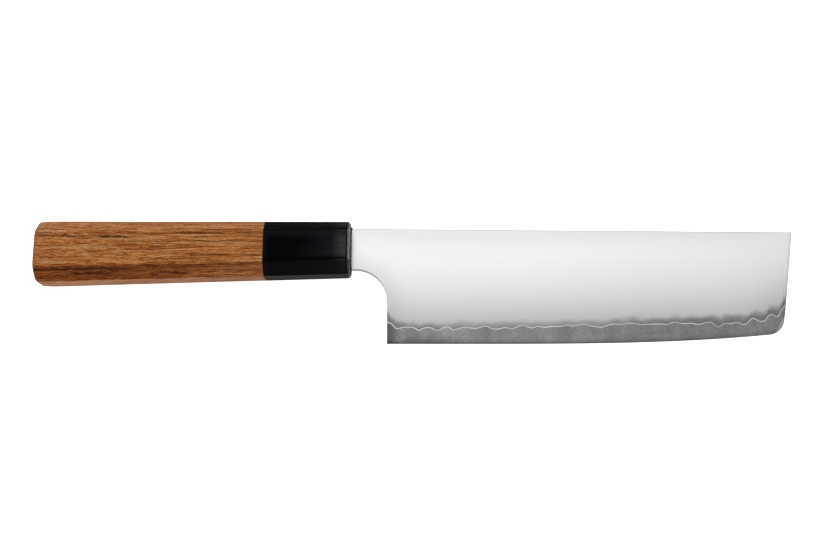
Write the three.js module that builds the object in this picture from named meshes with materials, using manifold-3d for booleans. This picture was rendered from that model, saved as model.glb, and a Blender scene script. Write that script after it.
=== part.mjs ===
// A nakiri, the flat-edged vegetable knife: a three-layer blade whose hidden tang is bedded in a two-part
// octagonal handle. Millimetres. The knife lies on its side: +X runs to the tip, +Y to the spine, and +Z out
// of the right side. The pieces are built in the knife's own frame, where x = 0 is the ferrule's front face,
// y = 0 is the board that the flat of the edge would stand on, and z = 0 is the middle of the blade.
import * as THREE from "three";
import { mergeVertices } from "three/addons/utils/BufferGeometryUtils.js";
import Module from "manifold-3d";

const wasm = await Module();
wasm.setup();

// Blade outline
const BLADE_LENGTH = 165; // heel to the top of the tip
const NECK_LENGTH = 14.6; // ferrule to heel
const SPINE_HEIGHT_AT_HANDLE = 47.45;
const SPINE_HEIGHT_AT_TIP = 46.1;
const NECK_HEIGHT = 17.2; // at the ferrule
const CHOIL_RADIUS = 13.2;
const FLAT_EDGE_LENGTH = 30.4; // heel to the start of the belly
const BELLY_RISE = 4.3; // how far the belly would lift the edge at the nose
const BELLY_POWER = 3.2; // how late the belly lifts
const NOSE_LEAN = Math.tan(THREE.MathUtils.degToRad(8.3)); // the front slants back towards the edge
const NOSE_RADIUS = 7;

// Blade thickness
const SPINE_THICKNESS_AT_HANDLE = 3;
const SPINE_THICKNESS_AT_HEEL = 2.4;
const SPINE_THICKNESS_AT_TIP = 1.6;
const CORE_THICKNESS = 0.7;
const BOND_THICKNESS = 0.05;
const BOND_LINE_WIDTH = 0.5; // how much of the bond layer the grind lays bare
const SHARPENED_HEIGHT = 0.6; // the small bevel at the edge
const SHARPENED_THICKNESS = 0.16;
const GRIND_START = 0.6; // share of the way from the bond line to the spine, where the flat side begins
const GRIND_POWER = 1.6; // roundness of the grind below it

// Crests and troughs of the bond line, in hundredths of the way from the heel to the front and of its height
const BOND_LINE_HEIGHT = 7.5; // about its mean, above the board
const BOND_LINE = [
  [0, 119], [2.6, 83], [4.4, 91], [6.1, 89], [8.1, 75], [10.1, 89], [12.7, 74], [14.8, 91], [16.8, 77],
  [19.1, 89], [22.1, 82], [24.6, 94], [27.1, 81], [29.6, 89], [31.1, 81], [33.6, 100], [36.2, 87],
  [37.9, 95], [39.6, 90], [44.9, 101], [46.6, 97], [49.2, 107], [53.1, 90], [56.7, 107], [58.2, 104],
  [61.4, 111], [63.4, 105], [67.4, 108], [69.6, 105], [72.2, 119], [74.4, 109], [75.9, 113],
  [77.6, 105], [80.7, 117], [82.9, 93], [84.7, 111], [87.5, 117], [89.3, 104], [91.7, 141],
  [94.3, 121], [96.1, 162], [97.7, 143], [100, 199],
].map(([along, up]) => [along / 100, up / 100]);

// Tang, and what beds it
const TANG_LENGTH = 72; // ferrule to the end of the tang
const LOWER_SHOULDER = 3.5; // step from the neck down to the tang
const UPPER_SHOULDER = 4.5;
const TANG_END_HEIGHT = 5.5;
const TANG_END_THICKNESS = 2;
const GLUE_GAP = 0.3; // film of glue round every glued piece
const SEAL_THICKNESS = 0.6; // between the ferrule and the shoulders of the tang
const SEAL_PROUD = 0.45; // how far the seal stands out round the neck
const RESIN_COVER = 0.45; // least resin over the tang, at the front of the dowel
const DOWEL_WEB = 4; // uncut end of the dowel, behind the kerf
const RESIN_BEHIND_TANG = 4;

// Handle
const HANDLE_LENGTH = 126.7; // ferrule included
const HANDLE_ABOVE_SPINE = 2.05;
const HEIGHT_AT_BUTT = 25.2;
const HEIGHT_AT_FRONT = 21.7;
const WIDTH_AT_BUTT = 20.6;
const WIDTH_AT_FRONT = 18.1;
const CHAMFER_AT_BUTT = 5.2;
const CHAMFER_AT_FRONT = 4.7;
const FERRULE_LENGTH = 35;
const FERRULE_WALL = 10; // in front of the dowel
const FRONT_ROUNDING = 1.6;
const BUTT_ROUNDING = 2.6;

// Fineness of the facets
const ROUNDING_STEPS = 4;
const CHOIL_STEPS = 9;
const NOSE_STEPS = 6;
const DOWEL_SIDES = 32;
const SEAL_STEPS = 6;
const CUT_OVERRUN = 1; // how far a cutting tool passes the face that it cuts

const lerp = THREE.MathUtils.lerp;
const heelX = NECK_LENGTH;
const tipX = NECK_LENGTH + BLADE_LENGTH;
const shoulderX = SEAL_THICKNESS;
const tangEndX = -TANG_LENGTH;
const jointX = -FERRULE_LENGTH;
const buttX = -HANDLE_LENGTH;
const kerfWidth = SPINE_THICKNESS_AT_HANDLE + 2 * GLUE_GAP;
const kerfEndX = tangEndX - RESIN_BEHIND_TANG;
const dowelFrontX = -FERRULE_WALL - GLUE_GAP;
const dowelEndX = kerfEndX - DOWEL_WEB;
const handleTopY = SPINE_HEIGHT_AT_HANDLE + HANDLE_ABOVE_SPINE;

const steel = (color, roughness) => new THREE.MeshStandardMaterial({ color, roughness, metalness: 1 });
const dull = (color, roughness) => new THREE.MeshStandardMaterial({ color, roughness, metalness: 0 });

// Closed solids in and out of the boolean library

function closed(geometry) {
  geometry.deleteAttribute("normal");
  geometry.deleteAttribute("uv");
  return mergeVertices(geometry, 1e-5);
}

function solidOf(geometry) {
  const merged = closed(geometry);
  return new wasm.Manifold(
    new wasm.Mesh({
      numProp: 3,
      vertProperties: new Float32Array(merged.attributes.position.array),
      triVerts: new Uint32Array(merged.index.array),
    }),
  );
}

function geometryOf(solid) {
  const mesh = solid.getMesh();
  return new THREE.BufferGeometry()
    .setAttribute("position", new THREE.BufferAttribute(new Float32Array(mesh.vertProperties), 3))
    .setIndex(new THREE.BufferAttribute(new Uint32Array(mesh.triVerts), 1));
}

const cut = (geometry, ...tools) =>
  geometryOf(tools.reduce((solid, tool) => solid.subtract(solidOf(tool)), solidOf(geometry)));

function part(name, geometry, material) {
  const mesh = new THREE.Mesh(geometry, material);
  mesh.name = name;
  geometry.computeVertexNormals();
  return mesh;
}

// Blade outline: the edge below, the spine above

const spineY = (x) => lerp(SPINE_HEIGHT_AT_HANDLE, SPINE_HEIGHT_AT_TIP, x / tipX);
const frontX = (y) => tipX - (SPINE_HEIGHT_AT_TIP - y) * NOSE_LEAN;

const bellyX = heelX + FLAT_EDGE_LENGTH;
const noseX = frontX(BELLY_RISE); // where the belly would meet the front, if the corner were sharp
const bellyY = (x) => BELLY_RISE * Math.max(0, (x - bellyX) / (noseX - bellyX)) ** BELLY_POWER;

// The round corner between the belly and the front
const noseCorner = (() => {
  const corner = new THREE.Vector2(noseX, BELLY_RISE);
  const slope = (BELLY_POWER * BELLY_RISE) / (noseX - bellyX);
  const alongBelly = new THREE.Vector2(-1, -slope).normalize();
  const alongFront = new THREE.Vector2(NOSE_LEAN, 1).normalize();
  const half = Math.acos(alongBelly.dot(alongFront)) / 2;
  const reach = NOSE_RADIUS / Math.tan(half);
  const inwards = alongBelly.clone().add(alongFront).normalize();
  return {
    centre: corner.clone().addScaledVector(inwards, NOSE_RADIUS / Math.sin(half)),
    start: corner.clone().addScaledVector(alongBelly, reach),
    end: corner.clone().addScaledVector(alongFront, reach),
  };
})();

function edgeY(x) {
  const { centre, start } = noseCorner;
  if (x <= start.x) return bellyY(x);
  return centre.y - Math.sqrt(Math.max(0, NOSE_RADIUS ** 2 - (x - centre.x) ** 2));
}

// The bond line swings smoothly from each crest to the next trough
function bondLineY(share) {
  const next = Math.max(1, BOND_LINE.findIndex(([at]) => at >= share));
  const [[from, low], [to, high]] = [BOND_LINE[next - 1], BOND_LINE[next]];
  const swing = (1 - Math.cos((Math.PI * (share - from)) / (to - from))) / 2;
  return BOND_LINE_HEIGHT * lerp(low, high, swing);
}

// Blade thickness: half of it, from the middle to one side

const coreHalf = CORE_THICKNESS / 2;
const bondHalf = coreHalf + BOND_THICKNESS;

function spineHalf(x) {
  const onTang = [tangEndX, TANG_END_THICKNESS, shoulderX, SPINE_THICKNESS_AT_HANDLE];
  const onNeck = [shoulderX, SPINE_THICKNESS_AT_HANDLE, heelX, SPINE_THICKNESS_AT_HEEL];
  const onBlade = [heelX, SPINE_THICKNESS_AT_HEEL, tipX, SPINE_THICKNESS_AT_TIP];
  const [x0, t0, x1, t1] = x < shoulderX ? onTang : x < heelX ? onNeck : onBlade;
  return lerp(t0, t1, (x - x0) / (x1 - x0)) / 2;
}

// Rise of the grind from the bond line, 0 to 1, at a share of the way up to the spine
const grind = (share) => 1 - Math.max(0, 1 - share / GRIND_START) ** GRIND_POWER;

// The blade as a grid of columns, from the tang's end to the tip. A column lists its points from the edge up
// to the spine, each with the half thickness there, without the rows that its stretch of the blade lacks.

const CORE_LINE_ROW = 2;
const BOND_LINE_ROW = 3;
const neckBottomY = spineY(shoulderX) - NECK_HEIGHT;
const tangShares = [LOWER_SHOULDER / NECK_HEIGHT, 1 - UPPER_SHOULDER / NECK_HEIGHT];
const tangRootHeight = NECK_HEIGHT - LOWER_SHOULDER - UPPER_SHOULDER;
const tangCentreY = neckBottomY + LOWER_SHOULDER + tangRootHeight / 2;
// The choil rounds the corner of neck and heel, so it has the room that those two leave it
const choilRadius = Math.min(CHOIL_RADIUS, heelX - shoulderX, neckBottomY - bondLineY(0) - BOND_LINE_WIDTH);
const choilBottomY = neckBottomY - choilRadius;
const choilShare = (choilBottomY - bondLineY(0)) / (spineY(heelX) - bondLineY(0));
// Rows between the bond line and the spine: those of the neck run on across the blade
const grindShare = (GRIND_START - choilShare) / (1 - choilShare);
const neckShares = [0, ...[...tangShares, grindShare].sort((a, b) => a - b), 1];
const bladeShares = [0, choilShare / 4, choilShare / 2, ...neckShares.map((s) => lerp(choilShare, 1, s))];
const CHOIL_ROW = BOND_LINE_ROW + bladeShares.length - neckShares.length;
const TANG_LOW_ROW = CHOIL_ROW + neckShares.indexOf(tangShares[0]);
const TANG_HIGH_ROW = CHOIL_ROW + neckShares.indexOf(tangShares[1]);
const SPINE_ROW = BOND_LINE_ROW + bladeShares.length - 1;

// Half the height of the tang at x
const tangHalf = (x) => lerp(TANG_END_HEIGHT, tangRootHeight, (x - tangEndX) / (shoulderX - tangEndX)) / 2;

function bladeColumn(share) {
  const lowX = lerp(heelX, noseCorner.end.x, share);
  const low = new THREE.Vector2(lowX, edgeY(lowX));
  const highX = lerp(heelX, tipX, share);
  const high = new THREE.Vector2(highX, spineY(highX));
  const at = (y, half) => {
    const point = low.clone().lerp(high, (y - low.y) / (high.y - low.y));
    return { x: point.x, y: point.y, half };
  };
  const lineY = bondLineY(share);
  const rows = [
    at(low.y, 0),
    at(low.y + SHARPENED_HEIGHT, SHARPENED_THICKNESS / 2),
    at(lineY - BOND_LINE_WIDTH, coreHalf),
  ];
  for (const s of bladeShares) {
    const point = at(lerp(lineY, high.y, s), 0);
    point.half = lerp(bondHalf, spineHalf(point.x), grind(s));
    rows.push(point);
  }
  return rows;
}

// The neck rounds down to the heel, and thickens to the full spine at the shoulder
function neckColumn(x, lowY) {
  const ground = (x - shoulderX) / (heelX - shoulderX);
  const rows = [];
  neckShares.forEach((s, i) => {
    const full = spineHalf(x);
    const blade = lerp(bondHalf, full, grind(lerp(choilShare, 1, s)));
    rows[CHOIL_ROW + i] = { x, y: lerp(lowY, spineY(x), s), half: lerp(full, blade, ground) };
  });
  return rows;
}

function tangColumn(x) {
  const rows = [];
  for (let row = TANG_LOW_ROW; row <= TANG_HIGH_ROW; row++) {
    const s = (neckShares[row - CHOIL_ROW] - tangShares[0]) / (tangShares[1] - tangShares[0]);
    rows[row] = { x, y: tangCentreY + (2 * s - 1) * tangHalf(x), half: spineHalf(x) };
  }
  return rows;
}

const bladeGrid = (() => {
  const noseShares = Array.from({ length: NOSE_STEPS }, (_, i) => {
    const x = lerp(noseCorner.start.x, noseCorner.end.x, Math.sin(((Math.PI / 2) * i) / NOSE_STEPS));
    return (x - heelX) / (noseCorner.end.x - heelX);
  });
  const shares = [...BOND_LINE.map(([share]) => share), ...noseShares].sort((a, b) => a - b);
  const choilX = heelX - choilRadius;
  const neck = choilX > shoulderX ? [neckColumn(shoulderX, neckBottomY)] : [];
  for (let i = CHOIL_STEPS; i > 0; i--) {
    const angle = ((Math.PI / 2) * i) / CHOIL_STEPS;
    const x = choilX + choilRadius * Math.cos(angle);
    neck.push(neckColumn(x, choilBottomY + choilRadius * Math.sin(angle)));
  }
  return [tangColumn(tangEndX), ...neck, ...shares.map(bladeColumn)];
})();

// A closed layer of the blade: the cells between the given rows, and between two heights at each point
function layer(rows, bottomOf, topOf) {
  const index = new Map();
  const points = [];
  const number = (column, row) => {
    const key = `${column},${row}`;
    if (!index.has(key)) index.set(key, points.push(bladeGrid[column][row]) - 1);
    return index.get(key);
  };
  const faces = [];
  for (let c = 0; c + 1 < bladeGrid.length; c++) {
    for (let i = 0; i + 1 < rows.length; i++) {
      const [low, high] = [rows[i], rows[i + 1]];
      const corners = [[c, low], [c + 1, low], [c + 1, high], [c, high]];
      if (corners.some(([column, row]) => !bladeGrid[column][row])) continue;
      const [a, b, d, e] = corners.map(([column, row]) => number(column, row));
      faces.push([a, b, d], [a, d, e]);
    }
  }
  const edges = faces.flatMap(([a, b, d]) => [[a, b], [b, d], [d, a]]);
  const used = new Set(edges.map((edge) => edge.join()));
  const rim = edges.filter(([a, b]) => !used.has(`${b},${a}`));

  const top = points.map((p) => new THREE.Vector3(p.x, p.y, topOf(p)));
  const bottom = points.map((p) => new THREE.Vector3(p.x, p.y, bottomOf(p)));
  const triangles = [
    ...faces.map(([a, b, d]) => [top[a], top[b], top[d]]),
    ...faces.map(([a, b, d]) => [bottom[a], bottom[d], bottom[b]]),
    ...rim.flatMap(([a, b]) => [[bottom[a], bottom[b], top[b]], [bottom[a], top[b], top[a]]]),
  ];
  // Where the two heights meet, the layer ends in a sharp edge and its wall vanishes
  const whole = triangles.filter(([a, b, d]) => !a.equals(b) && !b.equals(d) && !d.equals(a));
  return closed(new THREE.BufferGeometry().setFromPoints(whole.flat()));
}

// A flat layer needs no rows for the grind
const flatRows = [CHOIL_ROW, TANG_LOW_ROW, TANG_HIGH_ROW, SPINE_ROW];
const coreRows = [0, 1, CORE_LINE_ROW, ...flatRows];
const bondRows = [CORE_LINE_ROW, BOND_LINE_ROW, ...flatRows];
const claddingRows = bladeShares.map((_, i) => BOND_LINE_ROW + i);

const core = part(
  "core_steel",
  layer(coreRows, (p) => -Math.min(p.half, coreHalf), (p) => Math.min(p.half, coreHalf)),
  steel(0x7d7f80, 0.5),
);

const sides = [["right", 1], ["left", -1]].flatMap(([side, sign]) => {
  const between = (rows, inner, outer) =>
    sign > 0 ? layer(rows, inner, outer) : layer(rows, (p) => -outer(p), (p) => -inner(p));
  const bondOf = (p) => Math.min(p.half, bondHalf);
  return [
    part(`${side}_bond_layer`, between(bondRows, () => coreHalf, bondOf), steel(0xe6e7e8, 0.25)),
    part(`${side}_cladding`, between(claddingRows, () => bondHalf, (p) => p.half), steel(0xd4d6d8, 0.3)),
  ];
});

// Handle: an octagon that tapers to the front, with its top level

function octagon(x, inset) {
  const along = (x - buttX) / HANDLE_LENGTH;
  const halfHeight = lerp(HEIGHT_AT_BUTT, HEIGHT_AT_FRONT, along) / 2;
  const halfWidth = lerp(WIDTH_AT_BUTT, WIDTH_AT_FRONT, along) / 2;
  const chamfer = lerp(CHAMFER_AT_BUTT, CHAMFER_AT_FRONT, along);
  const centreY = handleTopY - halfHeight;
  // Each face moves in by the inset, so a corner moves by less than the chamfer does
  const corner = chamfer - inset * (2 - Math.SQRT2);
  const [h, w] = [halfHeight - inset, halfWidth - inset];
  const ring = [[h - corner, -w], [h, corner - w], [h, w - corner], [h - corner, w]];
  return [...ring, ...ring.map(([y, z]) => [-y, -z])].map(([y, z]) => new THREE.Vector3(x, centreY + y, z));
}

function loft(rings) {
  const triangles = [];
  const sides = rings[0].length;
  for (let i = 0; i + 1 < rings.length; i++) {
    for (let k = 0; k < sides; k++) {
      const [a, b] = [rings[i][k], rings[i][(k + 1) % sides]];
      const [d, e] = [rings[i + 1][(k + 1) % sides], rings[i + 1][k]];
      triangles.push([a, b, d], [a, d, e]);
    }
  }
  for (let k = 1; k + 1 < sides; k++) {
    const [first, last] = [rings[0], rings.at(-1)];
    triangles.push([first[0], first[k + 1], first[k]], [last[0], last[k], last[k + 1]]);
  }
  return new THREE.BufferGeometry().setFromPoints(triangles.flat());
}

// Rings that round the octagon over from an end face at endX to its full section, one radius further in
function roundedEnd(endX, radius, inwards) {
  return Array.from({ length: ROUNDING_STEPS + 1 }, (_, i) => {
    const angle = ((Math.PI / 2) * i) / ROUNDING_STEPS;
    return octagon(endX + inwards * radius * (1 - Math.cos(angle)), radius * (1 - Math.sin(angle)));
  });
}

// Swaps axes exactly, without rounding, so that flat faces still meet
const swapped = (geometry, x, y, z) =>
  geometry.applyMatrix4(new THREE.Matrix4().set(...x, 0, ...y, 0, ...z, 0, 0, 0, 0, 1));

function roundBar(radius, fromX, toX) {
  const bar = new THREE.CylinderGeometry(radius, radius, toX - fromX, DOWEL_SIDES);
  return swapped(bar, [0, 1, 0], [0, 0, 1], [1, 0, 0]).translate((fromX + toX) / 2, tangCentreY, 0);
}

function block(fromX, toX, height, width) {
  const box = new THREE.BoxGeometry(toX - fromX, height, width);
  return box.translate((fromX + toX) / 2, tangCentreY, 0);
}

// The dowel is just thick enough for its kerf to take the tang with resin above and below it
const kerfHalfHeight = tangHalf(dowelFrontX) + GLUE_GAP + RESIN_COVER;
const dowelRadius = Math.hypot(kerfHalfHeight, kerfWidth / 2);
const boreRadius = dowelRadius + GLUE_GAP;

const handle = part(
  "handle",
  cut(
    loft([...roundedEnd(buttX, BUTT_ROUNDING, 1), octagon(jointX, 0)]),
    roundBar(boreRadius, dowelEndX - GLUE_GAP, jointX + CUT_OVERRUN),
  ),
  dull(0x9a6239, 0.55),
);

const ferrule = part(
  "ferrule",
  cut(
    loft([octagon(jointX, 0), ...roundedEnd(0, FRONT_ROUNDING, -1).reverse()]),
    roundBar(boreRadius, jointX - CUT_OVERRUN, -FERRULE_WALL),
    block(jointX - CUT_OVERRUN, CUT_OVERRUN, tangRootHeight + 2 * GLUE_GAP, kerfWidth),
  ),
  dull(0x141416, 0.35),
);

// The dowel joins handle and ferrule, and is split by a kerf that takes the tang
const dowel = part(
  "dowel",
  cut(
    roundBar(dowelRadius, dowelEndX, dowelFrontX),
    block(kerfEndX, dowelFrontX + CUT_OVERRUN, 2 * (dowelRadius + CUT_OVERRUN), kerfWidth),
  ),
  dull(0xc9a878, 0.7),
);

// Resin fills the kerf above, below and behind the tang
const resin = (() => {
  const notchX = tangEndX - GLUE_GAP;
  const [frontHalf, notchHalf] = [dowelFrontX, notchX].map((x) => tangHalf(x) + GLUE_GAP);
  const outline = [
    [dowelFrontX, -kerfHalfHeight], [dowelFrontX, -frontHalf], [notchX, -notchHalf],
    [notchX, notchHalf], [dowelFrontX, frontHalf], [dowelFrontX, kerfHalfHeight],
    [kerfEndX, kerfHalfHeight], [kerfEndX, -kerfHalfHeight],
  ].map(([x, y]) => new THREE.Vector2(x, tangCentreY + y));
  const bed = new THREE.ExtrudeGeometry(new THREE.Shape(outline), { depth: kerfWidth, bevelEnabled: false });
  return part("tang_resin", closed(bed.translate(0, 0, -kerfWidth / 2)), dull(0x6b4a22, 0.5));
})();

// A bead of black filler between the ferrule and the shoulders, standing a little proud of the neck
const seal = (() => {
  const halfWidth = SPINE_THICKNESS_AT_HANDLE / 2 + SEAL_PROUD;
  const [lowY, highY] = [neckBottomY - SEAL_PROUD, spineY(shoulderX) + SEAL_PROUD];
  const outline = new THREE.Shape()
    .moveTo(-halfWidth, lowY + halfWidth)
    .absarc(0, lowY + halfWidth, halfWidth, Math.PI, 2 * Math.PI)
    .absarc(0, highY - halfWidth, halfWidth, 0, Math.PI);
  const holeHalf = tangRootHeight / 2 + GLUE_GAP;
  const hole = [[-1, -1], [-1, 1], [1, 1], [1, -1]].map(
    ([z, y]) => new THREE.Vector2((z * kerfWidth) / 2, tangCentreY + y * holeHalf),
  );
  outline.holes.push(new THREE.Path(hole));
  const shape = { depth: SEAL_THICKNESS, bevelEnabled: false, curveSegments: SEAL_STEPS };
  const bead = new THREE.ExtrudeGeometry(outline, shape);
  return part("mouth_seal", closed(swapped(bead, [0, 0, 1], [0, 1, 0], [-1, 0, 0])), dull(0x0b0b0c, 0.6));
})();

// The knife is set down with its box centred over the origin, on the side of its handle
const knife = new THREE.Group();
knife.add(core, ...sides, handle, ferrule, dowel, resin, seal);
const box = new THREE.Box3().setFromObject(knife);
const middle = box.getCenter(new THREE.Vector3());
knife.position.set(-middle.x, -middle.y, -box.min.z);

export default knife;
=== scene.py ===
"""A nakiri knife lying on its side: a three-layer blade in an octagonal wooden handle with a black ferrule.

Sizes are in millimetres in the knife's own frame, where x = 0 is the ferrule's front face, y = 0 is the board
that the flat of the edge would stand on, and z = 0 is the middle of the blade. placed() gives the row frame.
"""

import math

import bpy
import numpy as np
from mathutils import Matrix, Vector


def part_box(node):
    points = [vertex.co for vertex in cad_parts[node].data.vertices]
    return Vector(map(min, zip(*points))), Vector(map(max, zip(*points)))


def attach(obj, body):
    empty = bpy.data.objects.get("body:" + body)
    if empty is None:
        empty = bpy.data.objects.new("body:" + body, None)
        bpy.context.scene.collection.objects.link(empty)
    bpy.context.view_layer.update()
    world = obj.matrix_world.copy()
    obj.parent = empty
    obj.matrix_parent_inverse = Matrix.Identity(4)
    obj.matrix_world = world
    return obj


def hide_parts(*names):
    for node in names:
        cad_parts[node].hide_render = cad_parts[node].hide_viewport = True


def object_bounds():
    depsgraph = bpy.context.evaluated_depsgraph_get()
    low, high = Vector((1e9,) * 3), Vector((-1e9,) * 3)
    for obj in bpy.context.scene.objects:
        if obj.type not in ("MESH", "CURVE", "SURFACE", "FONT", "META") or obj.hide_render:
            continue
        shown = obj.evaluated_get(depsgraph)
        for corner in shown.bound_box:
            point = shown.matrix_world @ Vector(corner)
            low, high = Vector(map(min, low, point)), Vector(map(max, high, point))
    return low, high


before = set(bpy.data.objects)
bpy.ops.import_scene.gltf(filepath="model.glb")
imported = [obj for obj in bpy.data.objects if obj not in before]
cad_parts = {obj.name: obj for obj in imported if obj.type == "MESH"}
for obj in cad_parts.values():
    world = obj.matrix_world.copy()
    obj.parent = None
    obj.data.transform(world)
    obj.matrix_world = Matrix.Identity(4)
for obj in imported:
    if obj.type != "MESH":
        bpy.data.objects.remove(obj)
cad_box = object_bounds()

MM = 0.001

# Blade outline
SHOULDER_X = 0.08
HEEL_X = 14.6
TIP_X = 179.6
SPINE_AT_HANDLE = 47.45
SPINE_AT_TIP = 46.1
NECK_HEIGHT = 17.2
CHOIL_RADIUS = 13.2
BELLY_X = HEEL_X + 30.4
BELLY_RISE = 4.3
BELLY_POWER = 3.2
NOSE_LEAN = math.tan(math.radians(8.3))
NOSE_RADIUS = 7.0

# Tang
TANG_END_X = -72.0
LOWER_SHOULDER = 3.5
UPPER_SHOULDER = 4.5
TANG_END_HEIGHT = 5.5
GLUE_GAP = 0.3

# Blade thickness
NECK_HALF = 1.5
SPINE_STATIONS = [TANG_END_X, SHOULDER_X, HEEL_X, TIP_X]
SPINE_HALVES = [1.0, NECK_HALF, 1.2, 0.8]
TAPER_BLEND, TAPER_STEPS = 6.0, 13  # how far each change of taper is eased out along the spine
CORE_HALF = 0.35
BOND_HALF = 0.4
SHARPENED_HEIGHT = 0.6
SHARPENED_HALF = 0.08
GRIND_START = 0.6
GRIND_POWER = 1.6
PLUNGE_END_X = HEEL_X + 9.0  # where the thick neck has run out into the ground face
WEDGE_HEIGHT = 4.0  # least height of the bare wedge, round the nose

# Bond line: points on its course, in hundredths of the way from heel to front and of its mean height
BOND_LINE_HEIGHT = 7.5
BOND_LINE_WIDTH = 0.36
BOND_LINE_THINNING = 0.35  # how much of its width the line loses towards the front
BOND_LINE = [
    (0, 119), (1.1, 109), (2.2, 84), (2.4, 81), (4.4, 91), (5.4, 89), (6.4, 90), (6.9, 87), (7.4, 79),
    (8.2, 72), (9.2, 85), (10, 89), (11.2, 87), (12, 77), (12.5, 74), (13.2, 74), (14.2, 88), (15.2, 93),
    (15.7, 90), (16.5, 77), (16.8, 75), (17.5, 78), (18.8, 89), (20.8, 88), (21.5, 84), (22.6, 83),
    (24, 93), (24.8, 95), (25.3, 94), (26.3, 83), (27.3, 79), (28.8, 82), (29.6, 90), (31.4, 80),
    (32.1, 84), (33.4, 98), (34.1, 100), (34.6, 99), (36.4, 85), (37.9, 95), (39.9, 89), (41.2, 94),
    (43.7, 94), (45.2, 101), (46.9, 96), (49.4, 107), (51.7, 95), (53.8, 89), (54.3, 90), (56, 104),
    (56.7, 107), (58.8, 105), (60.3, 110), (61.8, 112), (63.8, 104), (68.1, 108), (70.6, 105), (71.6, 116),
    (72.6, 118), (74.6, 109), (76.3, 112), (78.1, 105), (78.6, 106), (80.1, 115), (81.4, 118), (81.9, 112),
    (82.7, 96), (83.7, 92), (83.9, 94), (84.7, 109), (84.9, 111), (86.4, 109), (87.9, 117), (88.4, 116),
    (89.4, 105), (90.2, 106), (90.7, 111), (91.4, 134), (91.9, 138), (92.4, 137), (93.7, 121), (94.4, 122),
    (95.2, 128), (95.8, 152), (96.3, 158), (96.8, 159), (97.9, 146), (98.1, 146), (98.5, 155), (98.8, 179),
    (99.2, 191), (99.6, 202), (100, 210),
]
LINE_EASING, LINE_EASING_STEPS = 0.0014, 5  # share of the blade over which its corners are eased
LINE_SMOOTHING, LINE_SMOOTHING_STEPS = 0.07, 15  # share over which the ground face evens out the line

# Handle
HANDLE_TOP_Y = 49.5
BUTT_X = -126.7
JOINT_X = -35.0
FERRULE_WALL = 10.0
HEIGHT_AT_BUTT, HEIGHT_AT_FRONT = 25.2, 21.7
WIDTH_AT_BUTT, WIDTH_AT_FRONT = 20.6, 18.1
CHAMFER_AT_BUTT, CHAMFER_AT_FRONT = 5.2, 4.7
FRONT_ROUNDING = 1.6
BUTT_ROUNDING = 1.8
BORE_END_X = -80.3
KERF_WIDTH = 2 * (NECK_HALF + GLUE_GAP)

# How far sharp corners are eased
WOOD_EASE = 0.5
BUTT_EASE = 1.8  # the octagon's corners are sanded rounder at the butt
BUTT_EASE_LENGTH = 4.0
HORN_EASE = 0.3
JOINT_EASE = 0.1  # the fine seam between wood and ferrule
SPINE_EASE = 0.3
FRONT_EASE = 0.3
CHOIL_EASE = 0.25

# Fineness of the meshes
BLADE_COLUMNS = 300
NOSE_COLUMNS = 80
NOSE_SHARE = 0.9  # the last tenth, where the bond line climbs, is cut finer
NOSE_ARC_STEPS = 20
SHARE_DIGITS = 5  # columns closer than this fall together
CHOIL_COLUMNS = 26
TANG_COLUMNS = 6
COLUMN_LEAN = 6.0  # columns lean forward above the choil, so that they spread round it
EASE_CUTS = 3  # rows that round an eased corner of the blade
CORNER_POINTS = 5  # points that round an eased corner of the octagon
ROUNDING_RINGS = 9
MERGE_DISTANCE = 2e-7  # metres
SMOOTH_ANGLE = 38  # degrees

# The octagon's facets in turn: how each leans, from 2 on top to -2 below,
# and whether it starts at its lower border
FACET_LEANS = np.array([1, 2, 1, 0, -1, -2, -1, 0])
FACET_STARTS_LOW = np.array([1, 0, 0, 0, 0, 0, 1, 1])

FRONT_FACE_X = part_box("ferrule")[1].x
BOARD_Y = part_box("handle")[1].y - HANDLE_TOP_Y * MM
BLADE_MIDDLE_Z = (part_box("core_steel")[0].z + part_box("core_steel")[1].z) / 2
ORIGIN = np.array([FRONT_FACE_X, BOARD_Y, BLADE_MIDDLE_Z])


def placed(points):
    """Points in the knife's own millimetres, moved to the row frame in metres."""
    return np.asarray(points, float) * MM + ORIGIN


def lerp(a, b, t):
    return a + (b - a) * t


def smoothstep(low, high, x):
    t = np.clip((x - low) / (high - low), 0.0, 1.0)
    return t * t * (3.0 - 2.0 * t)


def evened(course, at, reach, steps):
    """The mean of a course over a reach to either side."""
    return np.mean([course(np.asarray(at) + step) for step in np.linspace(-reach, reach, steps)], axis=0)


def unit(vectors):
    """Vectors brought to the length of one."""
    return vectors / np.linalg.norm(vectors, axis=-1, keepdims=True)


# Modelling by hand: select, cut, extrude, set the corners in place, close up

def deselect():
    if bpy.context.object and bpy.context.object.mode != "OBJECT":
        bpy.ops.object.mode_set(mode="OBJECT")
    bpy.ops.object.select_all(action="DESELECT")


def clear_picks(piece, kind):
    """Leaves nothing selected in the piece, ready to pick its faces, edges or vertices in object mode."""
    bpy.context.view_layer.objects.active = piece
    bpy.ops.object.mode_set(mode="EDIT")
    bpy.ops.mesh.select_mode(type=kind)
    bpy.ops.mesh.select_all(action="DESELECT")
    bpy.ops.object.mode_set(mode="OBJECT")


def corners_of(piece):
    found = np.zeros(len(piece.data.vertices) * 3)
    piece.data.vertices.foreach_get("co", found)
    return found.reshape(-1, 3)


def set_corners(piece, points):
    piece.data.vertices.foreach_set("co", np.asarray(points, float).ravel())
    piece.data.update()


def cut_uprights(piece, cuts):
    """Cuts every upright edge of a piece one unit high into equal lengths."""
    clear_picks(piece, "EDGE")
    height = corners_of(piece)[:, 2]
    for edge in piece.data.edges:
        low, high = edge.vertices
        edge.select = bool(abs(height[low] - height[high]) > 0.5)
    bpy.ops.object.mode_set(mode="EDIT")
    bpy.ops.mesh.subdivide(number_cuts=cuts)
    bpy.ops.object.mode_set(mode="OBJECT")


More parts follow.
